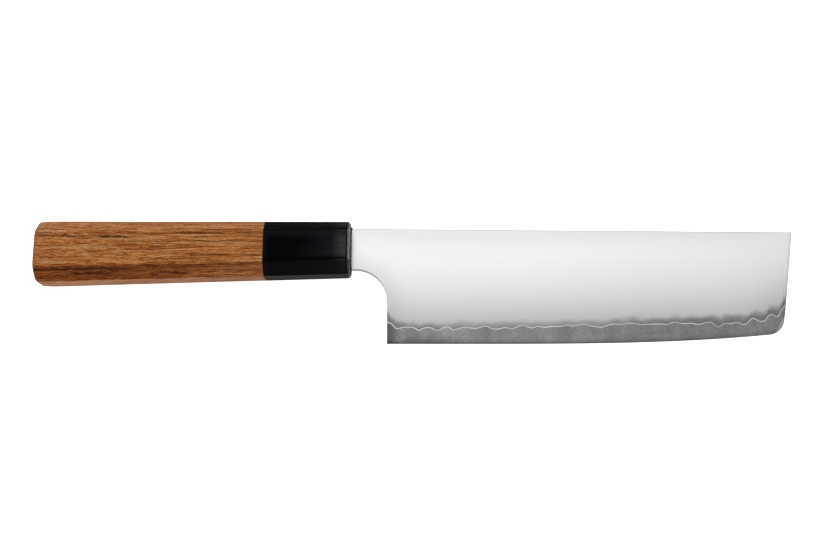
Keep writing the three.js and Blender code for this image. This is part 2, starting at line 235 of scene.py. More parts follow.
def close_up(piece, smooth_angle):
    """Merges doubles, turns the faces outwards and shades the piece smooth up to an angle."""
    bpy.context.view_layer.objects.active = piece
    bpy.ops.object.mode_set(mode="EDIT")
    bpy.ops.mesh.select_all(action="SELECT")
    bpy.ops.mesh.remove_doubles(threshold=MERGE_DISTANCE)
    bpy.ops.mesh.dissolve_degenerate(threshold=MERGE_DISTANCE)
    bpy.ops.mesh.normals_make_consistent(inside=False)
    bpy.ops.object.mode_set(mode="OBJECT")
    bpy.ops.object.shade_smooth_by_angle(angle=math.radians(smooth_angle))
    bpy.ops.object.modifier_add(type="WEIGHTED_NORMAL")
    weighted = piece.modifiers[-1]
    weighted.keep_sharp = True
    bpy.ops.object.modifier_apply(modifier=weighted.name)


def lay_layer(name, cells, top, bottom, walls=None):
    """A closed layer: a grid with its spare cells deleted, extruded, and set to the given faces.

    top and bottom hold a point for each column and row. walls holds the points that round the corner between
    the top and its side, one set for each cut of the side.
    """
    columns, rows = top.shape[:2]
    deselect()
    bpy.ops.mesh.primitive_grid_add(x_subdivisions=columns - 1, y_subdivisions=rows - 1, size=1.0)
    piece = bpy.context.object
    piece.name = piece.data.name = name
    clear_picks(piece, "FACE")
    for face in piece.data.polygons:
        column = int((face.center.x + 0.5) * (columns - 1))
        row = int((face.center.y + 0.5) * (rows - 1))
        face.select = not cells[column, row]
    bpy.ops.object.mode_set(mode="EDIT")
    bpy.ops.mesh.delete(type="FACE")
    bpy.ops.mesh.select_all(action="SELECT")
    bpy.ops.mesh.extrude_region_move(TRANSFORM_OT_translate={"value": (0.0, 0.0, 1.0)})
    bpy.ops.object.mode_set(mode="OBJECT")
    if walls:
        cut_uprights(piece, EASE_CUTS)
    at = corners_of(piece)
    column = np.rint((at[:, 0] + 0.5) * (columns - 1)).astype(int)
    row = np.rint((at[:, 1] + 0.5) * (rows - 1)).astype(int)
    level = np.rint((1.0 - at[:, 2]) * (EASE_CUTS + 1)).astype(int)
    levels = np.stack([top, *(walls or [top] * EASE_CUTS), bottom])
    set_corners(piece, placed(levels[level, column, row]))
    close_up(piece, SMOOTH_ANGLE)
    return piece


def store(piece, name, values):
    """Keeps a value for each corner of a piece, for its finish to read."""
    layer = piece.data.attributes.new(name, "FLOAT", "POINT")
    layer.data.foreach_set("value", np.asarray(values, np.float32))


def note_facets(piece, place):
    """Stores how each facet of the octagon leans and how far down the facet a point is."""
    corner, step = np.divmod(place, CORNER_POINTS)
    share = step / (CORNER_POINTS - 1)
    before, after = (corner - 1) % len(FACET_LEANS), corner
    store(piece, "lean", lerp(FACET_LEANS[before], FACET_LEANS[after], share))
    store(piece, "down", lerp(1 - FACET_STARTS_LOW[before], FACET_STARTS_LOW[after], share))


def turn_rings(name, rings, capped, faceted=True):
    """A cylinder whose side is cut into rings, each set to its own section, with both ends capped or open."""
    rings = np.asarray(rings, float)
    count, sides = rings.shape[:2]
    deselect()
    bpy.ops.mesh.primitive_cylinder_add(
        vertices=sides, radius=1.0, depth=1.0, end_fill_type="NGON" if capped else "NOTHING"
    )
    piece = bpy.context.object
    piece.name = piece.data.name = name
    cut_uprights(piece, count - 2)
    at = corners_of(piece)
    turn = np.arctan2(at[:, 1], at[:, 0]) / (2 * np.pi) * sides
    ring = np.rint((at[:, 2] + 0.5) * (count - 1)).astype(int)
    place = np.rint(turn).astype(int) % sides
    set_corners(piece, placed(rings[ring, place]))
    if faceted:
        note_facets(piece, place)
    close_up(piece, SMOOTH_ANGLE)
    return piece


# The blade's outline

def spine_y(x):
    return lerp(SPINE_AT_HANDLE, SPINE_AT_TIP, np.asarray(x) / TIP_X)


def front_x(y):
    return TIP_X - (SPINE_AT_TIP - np.asarray(y)) * NOSE_LEAN


NECK_BOTTOM_Y = float(spine_y(SHOULDER_X)) - NECK_HEIGHT
CHOIL_CENTRE = np.array([HEEL_X - CHOIL_RADIUS, NECK_BOTTOM_Y - CHOIL_RADIUS])
TANG_ROOT_HEIGHT = NECK_HEIGHT - LOWER_SHOULDER - UPPER_SHOULDER
TANG_CENTRE_Y = NECK_BOTTOM_Y + LOWER_SHOULDER + TANG_ROOT_HEIGHT / 2
TANG_LOW_SHARE = LOWER_SHOULDER / NECK_HEIGHT
TANG_HIGH_SHARE = 1 - UPPER_SHOULDER / NECK_HEIGHT
FRONT_UPWARDS = unit(np.array([NOSE_LEAN, 1.0]))
FRONT_INWARDS = np.array([-FRONT_UPWARDS[1], FRONT_UPWARDS[0]])


def round_nose():
    """Centre, start and end of the round corner between the belly and the front."""
    corner = np.array([float(front_x(BELLY_RISE)), BELLY_RISE])
    slope = BELLY_POWER * BELLY_RISE / (corner[0] - BELLY_X)
    along_belly = unit(np.array([-1.0, -slope]))
    half = math.acos(float(along_belly @ FRONT_UPWARDS)) / 2
    inwards = unit(along_belly + FRONT_UPWARDS)
    reach = NOSE_RADIUS / math.tan(half)
    centre = corner + inwards * NOSE_RADIUS / math.sin(half)
    return centre, corner + along_belly * reach, corner + FRONT_UPWARDS * reach


NOSE_CENTRE, NOSE_START, NOSE_END = round_nose()


def edge_y(x):
    """Height of the cutting edge above the board."""
    x = np.asarray(x, float)
    along = np.maximum(0.0, (x - BELLY_X) / (front_x(BELLY_RISE) - BELLY_X))
    arc = NOSE_CENTRE[1] - np.sqrt(np.maximum(0.0, NOSE_RADIUS**2 - (x - NOSE_CENTRE[0]) ** 2))
    return np.where(x <= NOSE_START[0], BELLY_RISE * along**BELLY_POWER, arc)


def bond_line_y(share):
    """Height of the wavy bond line, with its corners eased."""
    at, height = np.array(BOND_LINE, float).T / 100
    course = evened(lambda s: np.interp(s, at, height), share, LINE_EASING, LINE_EASING_STEPS)
    return BOND_LINE_HEIGHT * course


def share_at(x, y):
    """How far along the blade a point is: 0 at the heel and 1 at the front."""
    return (x - HEEL_X) / (front_x(y) - HEEL_X)


def even_line_y(share):
    """The bond line with its waves evened out."""
    return evened(bond_line_y, share, LINE_SMOOTHING, LINE_SMOOTHING_STEPS)


# The blade's thickness

def spine_half(x):
    return evened(lambda at: np.interp(at, SPINE_STATIONS, SPINE_HALVES), x, TAPER_BLEND, TAPER_STEPS)


def half_thickness(x, y):
    """Half the blade's thickness: one smooth ground face from the edge to the flat below the spine."""
    x, y = np.asarray(x, float), np.asarray(y, float)
    full = spine_half(x)
    edge = edge_y(x)
    line = np.maximum(even_line_y(share_at(x, y)), edge + WEDGE_HEIGHT)
    rise = np.clip((y - line) / (spine_y(x) - line), 0.0, 1.0)
    ground = lerp(BOND_HALF, full, 1 - np.maximum(0.0, 1 - rise / GRIND_START) ** GRIND_POWER)
    bevel_top = edge + SHARPENED_HEIGHT
    wedge = lerp(SHARPENED_HALF, BOND_HALF, (y - bevel_top) / (line - bevel_top))
    bevel = SHARPENED_HALF * np.maximum(0.0, y - edge) / SHARPENED_HEIGHT
    on_blade = np.where(y >= line, ground, np.where(y >= bevel_top, wedge, bevel))
    return lerp(full, on_blade, smoothstep(SHOULDER_X, PLUNGE_END_X, x))


def joint_height(x, y, line_step, level):
    """Where two layers meet in the blade: from the ground face at the bond line to a level plane above."""
    line = bond_line_y(share_at(x, y)) + line_step
    bared = half_thickness(x, line)
    inside = lerp(bared, level, smoothstep(0.0, 1.0, (y - line) / (spine_y(x) - line)))
    return np.minimum(inside, half_thickness(x, y))


# The blade as columns from the tang to the front, and rows from the edge to the spine

def blade_shares():
    """Where the columns stand along the blade, closer together round the nose."""
    arc_x = lerp(NOSE_START[0], NOSE_END[0], np.sin(np.linspace(0, np.pi / 2, NOSE_ARC_STEPS)))
    shares = np.concatenate([
        np.linspace(0.0, NOSE_SHARE, BLADE_COLUMNS),
        np.linspace(NOSE_SHARE, 1.0, NOSE_COLUMNS),
        (arc_x - HEEL_X) / (NOSE_END[0] - HEEL_X),
    ])
    return np.unique(np.round(shares, SHARE_DIGITS))


SHARES = blade_shares()


def bond_borders():
    """Lower and upper border of the bare bond line, half its width to either side of its middle."""
    y = bond_line_y(SHARES)
    middle = np.stack([HEEL_X + SHARES * (front_x(y) - HEEL_X), y], axis=1)
    along = unit(np.gradient(middle, axis=0))
    across = np.stack([-along[:, 1], along[:, 0]], axis=1)
    # Both ends run out along the heel and the front
    across[0] = [0.0, 1.0]
    across[-1] = FRONT_UPWARDS
    half = BOND_LINE_WIDTH / 2 * (1 - BOND_LINE_THINNING * SHARES)[:, None]
    return middle - across * half, middle + across * half


LINE_LOW, LINE_HIGH = bond_borders()


def between(low, high, shares):
    """Points at the given shares of the way from one row of points to another: columns, then rows."""
    return low[:, None, :] + (high - low)[:, None, :] * np.asarray(shares, float)[None, :, None]


def level_row(y):
    """A row of points along the blade at one height."""
    return np.stack([HEEL_X + SHARES * (front_x(y) - HEEL_X), np.full(len(SHARES), y)], axis=1)


def blade_layout(lower, shares):
    """Points of a whole layer, tang, neck and blade, and the cells of the grid that it fills.

    lower holds the blade's rows below the height of the choil. The shares then give the rows from there to
    the spine, which run on over the neck, and those between the shoulders over the tang.
    """
    top_x = lerp(HEEL_X + COLUMN_LEAN, TIP_X, SHARES)
    top = np.stack([top_x, spine_y(top_x)], axis=1)
    blade = np.concatenate([lower, between(level_row(CHOIL_CENTRE[1]), top, shares)], axis=1)
    lower_rows, rows = lower.shape[1], blade.shape[1]

    turn = np.linspace(0, np.pi / 2, CHOIL_COLUMNS + 1)[:-1]
    choil = CHOIL_CENTRE + CHOIL_RADIUS * np.stack([np.sin(turn), np.cos(turn)], axis=1)
    neck_low = np.concatenate([[[SHOULDER_X, NECK_BOTTOM_Y]], choil])
    neck_x = lerp(SHOULDER_X, HEEL_X + COLUMN_LEAN, np.arange(len(neck_low)) / len(neck_low))
    neck_top = np.stack([neck_x, spine_y(neck_x)], axis=1)
    neck = np.zeros((len(neck_low), rows, 2))
    neck[:, lower_rows:] = between(neck_low, neck_top, shares)

    shares = np.asarray(shares)
    on_tang = (shares >= TANG_LOW_SHARE) & (shares <= TANG_HIGH_SHARE)
    tang_rows = lower_rows + np.flatnonzero(on_tang)
    swing = 2 * (shares[on_tang] - TANG_LOW_SHARE) / (TANG_HIGH_SHARE - TANG_LOW_SHARE) - 1
    along = np.linspace(0.0, 1.0, TANG_COLUMNS + 1)[:-1, None]
    tang = np.zeros((TANG_COLUMNS, rows, 2))
    tang[:, tang_rows, 0] = lerp(TANG_END_X, SHOULDER_X, along)
    tang[:, tang_rows, 1] = TANG_CENTRE_Y + swing * lerp(TANG_END_HEIGHT, TANG_ROOT_HEIGHT, along) / 2

    outline = np.concatenate([tang, neck, blade])
    filled = outline[..., 1] > 0.0
    filled[-len(SHARES):] = True
    cells = filled[:-1, :-1] & filled[1:, :-1] & filled[:-1, 1:] & filled[1:, 1:]
    return outline, cells


def with_height(flat, height):
    return np.concatenate([flat, height[..., None]], axis=-1)


WEDGE_ROWS = 8  # from the top of the sharpened bevel to the bond line
GRIND_SHARES = [0.0, 0.05, 0.12, 0.22, 0.36, 0.52, 0.75]
SHOULDER_ROWS, TANG_ROWS = 7, 15
BY_SPINE_SHARE = 0.97  # the row next to the spine
FLAT_SHARES = np.concatenate([
    np.linspace(0.0, TANG_LOW_SHARE, SHOULDER_ROWS),
    np.linspace(TANG_LOW_SHARE, TANG_HIGH_SHARE, TANG_ROWS)[1:],
    np.linspace(TANG_HIGH_SHARE, BY_SPINE_SHARE, SHOULDER_ROWS)[1:],
    [1.0],
])
BURIED_SHARES = [0.0, TANG_LOW_SHARE, TANG_HIGH_SHARE, 1.0]
BARE_SHARES = [0.0, 0.5, 1.0]  # across the bare bond line
SINK_SHARE = 0.04  # where the bond layer has sunk below the cladding, and how deep
SINK_DEPTH = 0.02
LEAST_HALF = 0.004  # so that both sides of the nose stay apart above the edge
ROOM_ROWS = 2.0  # rows above the bond line over which the columns close up by the heel and the front
EASE_SHARE = 0.8  # the most that an eased corner takes of the cladding's thickness


def core_steel():
    """The middle layer: a bare wedge with the edge below the bond line, buried above it, and the tang."""
    edge_x = lerp(HEEL_X, NOSE_END[0], SHARES)
    edge = np.stack([edge_x, edge_y(edge_x)], axis=1)
    bevel_share = (SHARPENED_HEIGHT / (LINE_LOW[:, 1] - edge[:, 1]))[:, None]
    bevel_top = edge + (LINE_LOW - edge) * bevel_share
    wedge = between(bevel_top, LINE_LOW, np.linspace(0.0, 1.0, WEDGE_ROWS))
    outline, cells = blade_layout(np.concatenate([edge[:, None], wedge], axis=1), BURIED_SHARES)
    x, y = outline[..., 0], outline[..., 1]
    bare = np.arange(outline.shape[1]) <= WEDGE_ROWS
    half = np.where(bare, half_thickness(x, y), joint_height(x, y, -BOND_LINE_WIDTH / 2, CORE_HALF))
    half = np.maximum(half, LEAST_HALF)
    half[:, 0] = 0.0
    return lay_layer("core_steel_ground", cells, with_height(outline, half), with_height(outline, -half))


def bond_layer(side, sign):
    """The thin bright layer, bare between its two borders and buried above them."""
    bare_rows = between(LINE_LOW, LINE_HIGH, BARE_SHARES)
    sunk_row = between(LINE_HIGH, level_row(CHOIL_CENTRE[1]), [SINK_SHARE])
    outline, cells = blade_layout(np.concatenate([bare_rows, sunk_row], axis=1), BURIED_SHARES)
    x, y = outline[..., 0], outline[..., 1]
    bare = np.arange(outline.shape[1]) < len(BARE_SHARES)
    face = half_thickness(x, y)
    buried = np.minimum(joint_height(x, y, BOND_LINE_WIDTH / 2, BOND_HALF), face - SINK_DEPTH)
    outer = np.where(bare, face, buried)
    inner = joint_height(x, y, -BOND_LINE_WIDTH / 2, CORE_HALF)
    inner = np.minimum(inner, np.where(bare, outer, outer - SINK_DEPTH))
    return lay_layer(
        f"{side}_bond_line", cells, with_height(outline, sign * outer), with_height(outline, sign * inner)
    )


def eased_inwards(outline):
    """The cladding's outline with the borders that are eased moved in: spine, front, heel and choil."""
    inset = outline.copy()
    first = len(outline) - len(SHARES)
    choil_row = len(GRIND_SHARES)
    inset[TANG_COLUMNS:, -1, 1] -= SPINE_EASE
    # The columns nearest to the heel and the front close up to make room, and not at the bond line itself
    room = np.clip(np.arange(outline.shape[1]) / ROOM_ROWS, 0.0, 1.0)
    by_heel = np.clip(1 - SHARES / (1 - NOSE_SHARE), 0.0, 1.0)[:, None] * room
    by_heel[:, choil_row + 1:] = 0.0
    by_front = np.clip((SHARES - NOSE_SHARE) / (1 - NOSE_SHARE), 0.0, 1.0)[:, None] * room
    inset[first:, :, 0] += CHOIL_EASE * by_heel
    inset[first:] += FRONT_EASE * by_front[..., None] * FRONT_INWARDS
    away = outline[TANG_COLUMNS:first, choil_row] - CHOIL_CENTRE
    away[0] = [0.0, 1.0]
    inset[TANG_COLUMNS:first, choil_row] += CHOIL_EASE * unit(away)
    return inset


def cladding(side, sign):
    """The outer steel, from the bond line to the spine."""
    grind = between(LINE_HIGH, level_row(CHOIL_CENTRE[1]), GRIND_SHARES)
    outline, cells = blade_layout(grind, FLAT_SHARES)
    inset = eased_inwards(outline)
    half = half_thickness(inset[..., 0], inset[..., 1])
    joint = np.minimum(joint_height(outline[..., 0], outline[..., 1], BOND_LINE_WIDTH / 2, BOND_HALF), half)
    step = outline - inset
    drop = np.minimum(np.linalg.norm(step, axis=-1), EASE_SHARE * (half - joint))
    walls = []
    for turn in np.linspace(0.0, np.pi / 2, EASE_CUTS + 1)[1:]:
        height = half - drop * (1 - math.cos(turn))
        walls.append(with_height(inset + step * math.sin(turn), sign * height))
    return lay_layer(
        f"{side}_cladding_ground",
        cells,
        with_height(inset, sign * half),
        with_height(outline, sign * joint),
        walls,
    )


NOSE_HIGHLIGHT_TURN = np.array([0.1, 0.7])  # shares of the nose over which its painted highlight comes in
NOSE_HIGHLIGHT_CLIMB = np.array([-1.0, 3.0])  # heights from the nose's end over which it goes out again
NOSE_HIGHLIGHT_FADE = 2.0


# This distance shapes the painted highlight round the nose of the core
def from_nose(x, y):
    """How far in a point is from the round nose, with more added towards the belly and up the front."""
    from_arc = NOSE_RADIUS - np.hypot(x - NOSE_CENTRE[0], y - NOSE_CENTRE[1])
    from_line = (front_x(y) - x) * FRONT_UPWARDS[1]
    on_belly = 1 - smoothstep(*lerp(NOSE_START[0], NOSE_END[0], NOSE_HIGHLIGHT_TURN), x)
    up_front = smoothstep(*(NOSE_END[1] + NOSE_HIGHLIGHT_CLIMB), y)
    inside = np.where(y < NOSE_END[1], from_arc, from_line) + NOSE_HIGHLIGHT_FADE * np.maximum(on_belly, up_front)
    return np.where(x < NOSE_START[0], NOSE_RADIUS, inside)


def from_choil(x, y):
    """How far in a point is from the round of the choil and the heel below it."""
    past_x, past_y = np.maximum(x - CHOIL_CENTRE[0], 0.0), np.maximum(y - CHOIL_CENTRE[1], 0.0)
    return np.hypot(past_x, past_y) - CHOIL_RADIUS


def note_distances(piece):
    """Stores how far each point is from the bond line, its evened course and the blade's borders, in mm."""
    x, y, _ = ((corners_of(piece) - ORIGIN) / MM).T
    share = share_at(x, y)
    distances = {
        "above_line": y - bond_line_y(share),
        "above_even_line": y - even_line_y(share),
        "above_edge": y - edge_y(x),
        "from_heel": x - HEEL_X,
        "from_front": front_x(y) - x,
        "from_nose": from_nose(x, y),
        "from_choil": from_choil(x, y),
    }
    for name, distance in distances.items():
        store(piece, name, distance)


# The handle: an octagon that tapers to the front, with its top level

def octagon_corners(x, inset):
    """The eight corners of the section at x, with every face moved in."""
    along = (x - BUTT_X) / -BUTT_X
    half_height = lerp(HEIGHT_AT_BUTT, HEIGHT_AT_FRONT, along) / 2
    half_width = lerp(WIDTH_AT_BUTT, WIDTH_AT_FRONT, along) / 2
    chamfer = lerp(CHAMFER_AT_BUTT, CHAMFER_AT_FRONT, along) - inset * (2 - math.sqrt(2))
    centre_y = HANDLE_TOP_Y - half_height
    h, w = half_height - inset, half_width - inset
    ring = np.array([[h - chamfer, -w], [h, chamfer - w], [h, w - chamfer], [h - chamfer, w]])
    return np.concatenate([ring, -ring]) + [centre_y, 0.0]


def octagon_ring(x, inset, ease):
    """The section at x with its corners rounded over, as points round the ring."""
    corners = octagon_corners(x, inset)
    before = np.roll(corners, 1, axis=0) - corners
    after = np.roll(corners, -1, axis=0) - corners
    start, end = corners + ease * unit(before), corners + ease * unit(after)
    points = []
    for corner, a, b in zip(corners, start, end):
        for t in np.linspace(0.0, 1.0, CORNER_POINTS):
            points.append((1 - t) ** 2 * a + 2 * t * (1 - t) * corner + t**2 * b)
    return np.column_stack([np.full(len(points), x), points])


def rounded_end(end_x, radius, inwards, ease):
    """Rings that round the octagon over from its end face to the full section."""
    rings = []
    for turn in np.linspace(0.0, np.pi / 2, ROUNDING_RINGS):
        x = end_x + inwards * radius * (1 - math.cos(turn))
        rings.append(octagon_ring(x, radius * (1 - math.sin(turn)), ease))
    return rings


TINY = 1e-6


def inner_ring(x, around, radius=None, half_sides=None):
    """A round bore or a square slot about the tang's middle, with its points in line with another ring's."""
    away = unit(around[:, 1:] - [TANG_CENTRE_Y, 0.0])
    reach = radius if radius else np.min(half_sides / np.maximum(np.abs(away), TINY), axis=1)[:, None]
    return np.column_stack([np.full(len(away), x), away * reach + [TANG_CENTRE_Y, 0.0]])


BORE_RADIUS = (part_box("dowel")[1].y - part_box("dowel")[0].y) / 2 / MM + GLUE_GAP
SLOT_HALF_SIDES = np.array([TANG_ROOT_HEIGHT / 2 + GLUE_GAP, KERF_WIDTH / 2])


def wooden_grip():
    """The grip, with its butt rounded over and a blind bore for the dowel."""
    mouth = octagon_ring(JOINT_X, JOINT_EASE, WOOD_EASE)
    rings = rounded_end(BUTT_X, BUTT_ROUNDING, 1, BUTT_EASE)
    for part in np.linspace(0.0, 1.0, ROUNDING_RINGS)[1:]:
        ease = lerp(BUTT_EASE, WOOD_EASE, float(smoothstep(0.0, 1.0, part)))
        rings.append(octagon_ring(BUTT_X + BUTT_ROUNDING + part * BUTT_EASE_LENGTH, 0.0, ease))
    rings += [octagon_ring(JOINT_X - JOINT_EASE, 0.0, WOOD_EASE), mouth]
    rings += [inner_ring(x, mouth, radius=BORE_RADIUS) for x in (JOINT_X, BORE_END_X)]
    return turn_rings("wooden_grip", rings, capped=True)


def black_ferrule():
    """The collar, with its front rounded over, a bore for the dowel and a slot for the tang."""
    rear = octagon_ring(JOINT_X, JOINT_EASE, HORN_EASE)
    rings = [rear, octagon_ring(JOINT_X + JOINT_EASE, 0.0, HORN_EASE)]
    rings += rounded_end(0.0, FRONT_ROUNDING, -1, HORN_EASE)[::-1]
    front = rings[-1]
    rings += [inner_ring(x, front, half_sides=SLOT_HALF_SIDES) for x in (0.0, -FERRULE_WALL)]
    rings += [inner_ring(x, rear, radius=BORE_RADIUS) for x in (-FERRULE_WALL, JOINT_X)]
    return turn_rings("black_ferrule", rings + [rear], capped=False)


# The filler at the mouth of the ferrule: points round its bead, ahead of the ferrule and proud of the neck

SEAL_PROFILE = [
    (0.0, 0.08), (0.03, 0.12), (0.07, 0.11), (0.1, 0.07), (0.13, 0.02), (0.15, -0.06), (0.08, -0.06),
]
SEAL_CROWN = (0.02, 0.14)  # the part of the bead that also swells forward, and by how much
SEAL_FORWARD = 0.1
SEAL_CORNER = 0.35
SEAL_CORNER_POINTS = 6
SEAL_LONG_POINTS = 26
SEAL_SHORT_POINTS = 4
SEAL_WAVES = [(0.22, 1.9, 2.3, 0.0), (0.16, 4.3, -1.1, 0.8)]  # height, pitch up and across the neck, shift
SEAL_BLOBS = [(SPINE_AT_HANDLE, 3.6, 0.9), (NECK_BOTTOM_Y, 2.8, 1.5)]  # place up the neck, swelling, spread


def neck_outline():
    """Points round the neck at the shoulder with their outward directions, its corners rounded."""
    high, low = NECK_BOTTOM_Y + NECK_HEIGHT, NECK_BOTTOM_Y
    y1, y0, z1 = high - SEAL_CORNER, low + SEAL_CORNER, NECK_HALF - SEAL_CORNER
    points, outwards = [], []
    corners = [((y1, z1), 0.0), ((y1, -z1), -90.0), ((y0, -z1), -180.0), ((y0, z1), -270.0)]
    sides = [SEAL_SHORT_POINTS, SEAL_LONG_POINTS, SEAL_SHORT_POINTS, SEAL_LONG_POINTS]
    for i, (centre, start) in enumerate(corners):
        for turn in np.radians(np.linspace(start + 90.0, start, SEAL_CORNER_POINTS)):
            away = np.array([math.cos(turn), math.sin(turn)])
            points.append(np.array(centre) + SEAL_CORNER * away)
            outwards.append(away)
        following = np.array(corners[(i + 1) % 4][0]) + SEAL_CORNER * outwards[-1]
        last = points[-1]
        for t in np.linspace(0.0, 1.0, sides[i] + 2)[1:-1]:
            points.append(lerp(last, following, t))
            outwards.append(outwards[-1])
    return np.array(points), np.array(outwards)


def mouth_seal():
    """An uneven bead of filler round the neck, with a blob at either end, and the tang's hole inside."""
    points, outwards = neck_outline()
    y, z = points.T
    uneven, blobs = np.ones(len(points)), np.ones(len(points))
    for height, up, across, shift in SEAL_WAVES:
        uneven += height * np.sin(up * y + across * z + shift)
    for place, swelling, spread in SEAL_BLOBS:
        blobs += swelling * np.exp(-((y - place) ** 2 + (z - NECK_HALF) ** 2) / spread)
    swell = uneven * blobs
    rings = []
    for x, proud in SEAL_PROFILE:
        reach = np.where(proud > 0, proud * swell, proud)
        forward = SEAL_FORWARD if SEAL_CROWN[0] < x < SEAL_CROWN[1] else 0.0
        rings.append(np.column_stack([x + forward * (swell - 1), points + outwards * reach[:, None]]))
    hole = [inner_ring(x, rings[-1], half_sides=SLOT_HALF_SIDES) for x in (SHOULDER_X, 0.0)]
    rings += hole + [rings[0]]
    return turn_rings("mouth_filler", rings, capped=False, faceted=False)


# Finishes: small helpers for nodes

def add_node(tree, kind, inputs=(), **settings):
    """Adds a node, sets it up, and links or sets its inputs."""
    made = tree.nodes.new(kind)
    for key, value in settings.items():
        setattr(made, key, value)
    for key, value in dict(inputs).items():
        if isinstance(value, bpy.types.NodeSocket):
            tree.links.new(value, made.inputs[key])
        else:
            made.inputs[key].default_value = value
    return made


def calculate(tree, operation, *values):
    return add_node(tree, "ShaderNodeMath", dict(enumerate(values)), operation=operation).outputs[0]


def times(tree, product, *factors):
    for factor in factors:
        product = calculate(tree, "MULTIPLY", product, factor)
    return product


def blended(tree, start, *parts):
    """A start value with others added to it, each as (value, share)."""
    for value, share in parts:
        start = calculate(tree, "MULTIPLY_ADD", value, share, start)
    return start


def vector_math(tree, operation, a, b):
    return add_node(tree, "ShaderNodeVectorMath", {0: a, 1: b}, operation=operation).outputs[0]


def scaled(tree, vector, factor):
    return add_node(tree, "ShaderNodeVectorMath", {0: vector, "Scale": factor}, operation="SCALE").outputs[0]


def stretched(tree, vector, scale, shift=(0.0, 0.0, 0.0)):
    """Coordinates scaled along each axis and then shifted."""
    inputs = {"Vector": vector, "Scale": scale, "Location": shift}
    return add_node(tree, "ShaderNodeMapping", inputs).outputs[0]


def axes_of(tree, vector):
    return add_node(tree, "ShaderNodeSeparateXYZ", {0: vector}).outputs


def own_axes(tree, where):
    """Coordinates in the knife's own millimetres."""
    return axes_of(tree, stretched(tree, where, (1 / MM,) * 3, tuple(-ORIGIN / MM)))


def noise(tree, vector, scale, detail=4.0, roughness=0.55, output="Fac"):
    inputs = {"Vector": vector, "Scale": scale, "Detail": detail, "Roughness": roughness}
    return add_node(tree, "ShaderNodeTexNoise", inputs).outputs[output]


def pattern(tree, vector, kind, output="Fac"):
    """Noise that runs along the knife."""
    scale, detail, roughness = kind
    return noise(tree, stretched(tree, vector, scale), 1.0, detail, roughness, output)


def fade(tree, value, low, high, at_low=0.0, at_high=1.0):
    """A soft step from one value to another."""
    inputs = {"Value": value, "From Min": low, "From Max": high, "To Min": at_low, "To Max": at_high}
    return add_node(tree, "ShaderNodeMapRange", inputs, interpolation_type="SMOOTHSTEP").outputs[0]


def attribute(tree, name):
    return add_node(tree, "ShaderNodeAttribute", attribute_name=name).outputs["Fac"]


def by_place(tree, *places):
    """Fades over values that a piece stores, each given as the value's name and the fade's limits."""
    return [fade(tree, attribute(tree, name), *limits) for name, *limits in places]


def grey(value):
    return (value, value, value)


def greys(stops):
    return [(place, grey(value)) for place, value in stops]


def ramp(tree, value, stops):
    """Colours along a value, as (place, colour) stops."""
    made = add_node(tree, "ShaderNodeValToRGB", {"Fac": value})
    elements = made.color_ramp.elements
    while len(elements) < len(stops):
        elements.new(0.5)
    for element, (place, colour) in zip(elements, stops):
        element.position = place
        element.color = (*colour, 1.0)
    return made.outputs["Color"]


MIX_A, MIX_B, MIX_RESULT = 6, 7, 2  # a Mix node's sockets for colours


def mix_colours(tree, share, a, b, blend="MIX"):
    a, b = ((*colour, 1.0) if isinstance(colour, tuple) else colour for colour in (a, b))
    made = add_node(tree, "ShaderNodeMix", {0: share, MIX_A: a, MIX_B: b}, data_type="RGBA", blend_type=blend)
    return made.outputs[MIX_RESULT]


def shaded(tree, colour, *shades):
    """A colour times each of the given shades."""
    for shade in shades:
        colour = mix_colours(tree, 1.0, colour, shade, "MULTIPLY")
    return colour


def new_group(name, values, outputs):
    """A shader node group that reads a vector and the given values, with its input and output sockets."""
    tree = bpy.data.node_groups.new(name, "ShaderNodeTree")
    tree.interface.new_socket(name="Vector", in_out="INPUT", socket_type="NodeSocketVector")
    for label, value in values.items():
        socket = tree.interface.new_socket(name=label, in_out="INPUT", socket_type="NodeSocketFloat")
        socket.default_value = value
    for label in outputs:
        tree.interface.new_socket(name=label, in_out="OUTPUT", socket_type="NodeSocketFloat")
    return tree, tree.nodes.new("NodeGroupInput").outputs, tree.nodes.new("NodeGroupOutput").inputs


def place_group(tree, group, inputs):
    """Places a group in a material and returns its outputs."""
    return add_node(tree, "ShaderNodeGroup", inputs, node_tree=group).outputs


def new_finish(name):
    """A material with a Principled shader: its tree, the shader's inputs and the Object coordinates."""
    material = bpy.data.materials.new(name)
    material.use_nodes = True
    tree = material.node_tree
    shader = tree.nodes["Principled BSDF"]
    coordinates = tree.nodes.new("ShaderNodeTexCoord").outputs["Object"]
    return material, tree, shader.inputs, coordinates


def bump(tree, shader, height, distance):
    made = add_node(tree, "ShaderNodeBump", {"Height": height, "Distance": distance})
    tree.links.new(made.outputs["Normal"], shader["Normal"])


# Patterns: changes per metre along, across and through the knife, detail, roughness

LONG_POLISH_LINES = ((14.0, 2600.0, 900.0), 3.0, 0.6)
SHORT_POLISH_LINES = ((70.0, 6400.0, 1500.0), 2.0, 0.6)
GRAIN_SWAY = ((30.0, 90.0, 90.0), 2.0, 0.5)
GROWTH_LAYERS = ((9.0, 330.0, 90.0), 3.0, 0.55)
FIBRE_STARTS = ((0.0, 800.0, 800.0), 1.0, 0.5)
WOOD_STREAKS = ((26.0, 1600.0, 1600.0), 3.0, 0.6)
WOOD_THREADS = ((50.0, 2200.0, 2200.0), 3.0, 0.65)
WOOD_FLECKS = ((240.0, 2100.0, 2100.0), 3.0, 0.65)
WOOD_NICKS = ((1100.0, 2600.0, 2600.0), 2.0, 0.6)
PORE_DASHES = ((190.0, 2900.0, 2900.0), 1.0, 0.5)
VEIN_COURSE = ((140.0, 90.0, 90.0), 3.0, 0.6)
VEIN_BORDER = ((330.0, 1150.0, 1150.0), 2.0, 0.6)
VEIN_BREAKS = ((420.0, 2600.0, 2600.0), 3.0, 0.6)

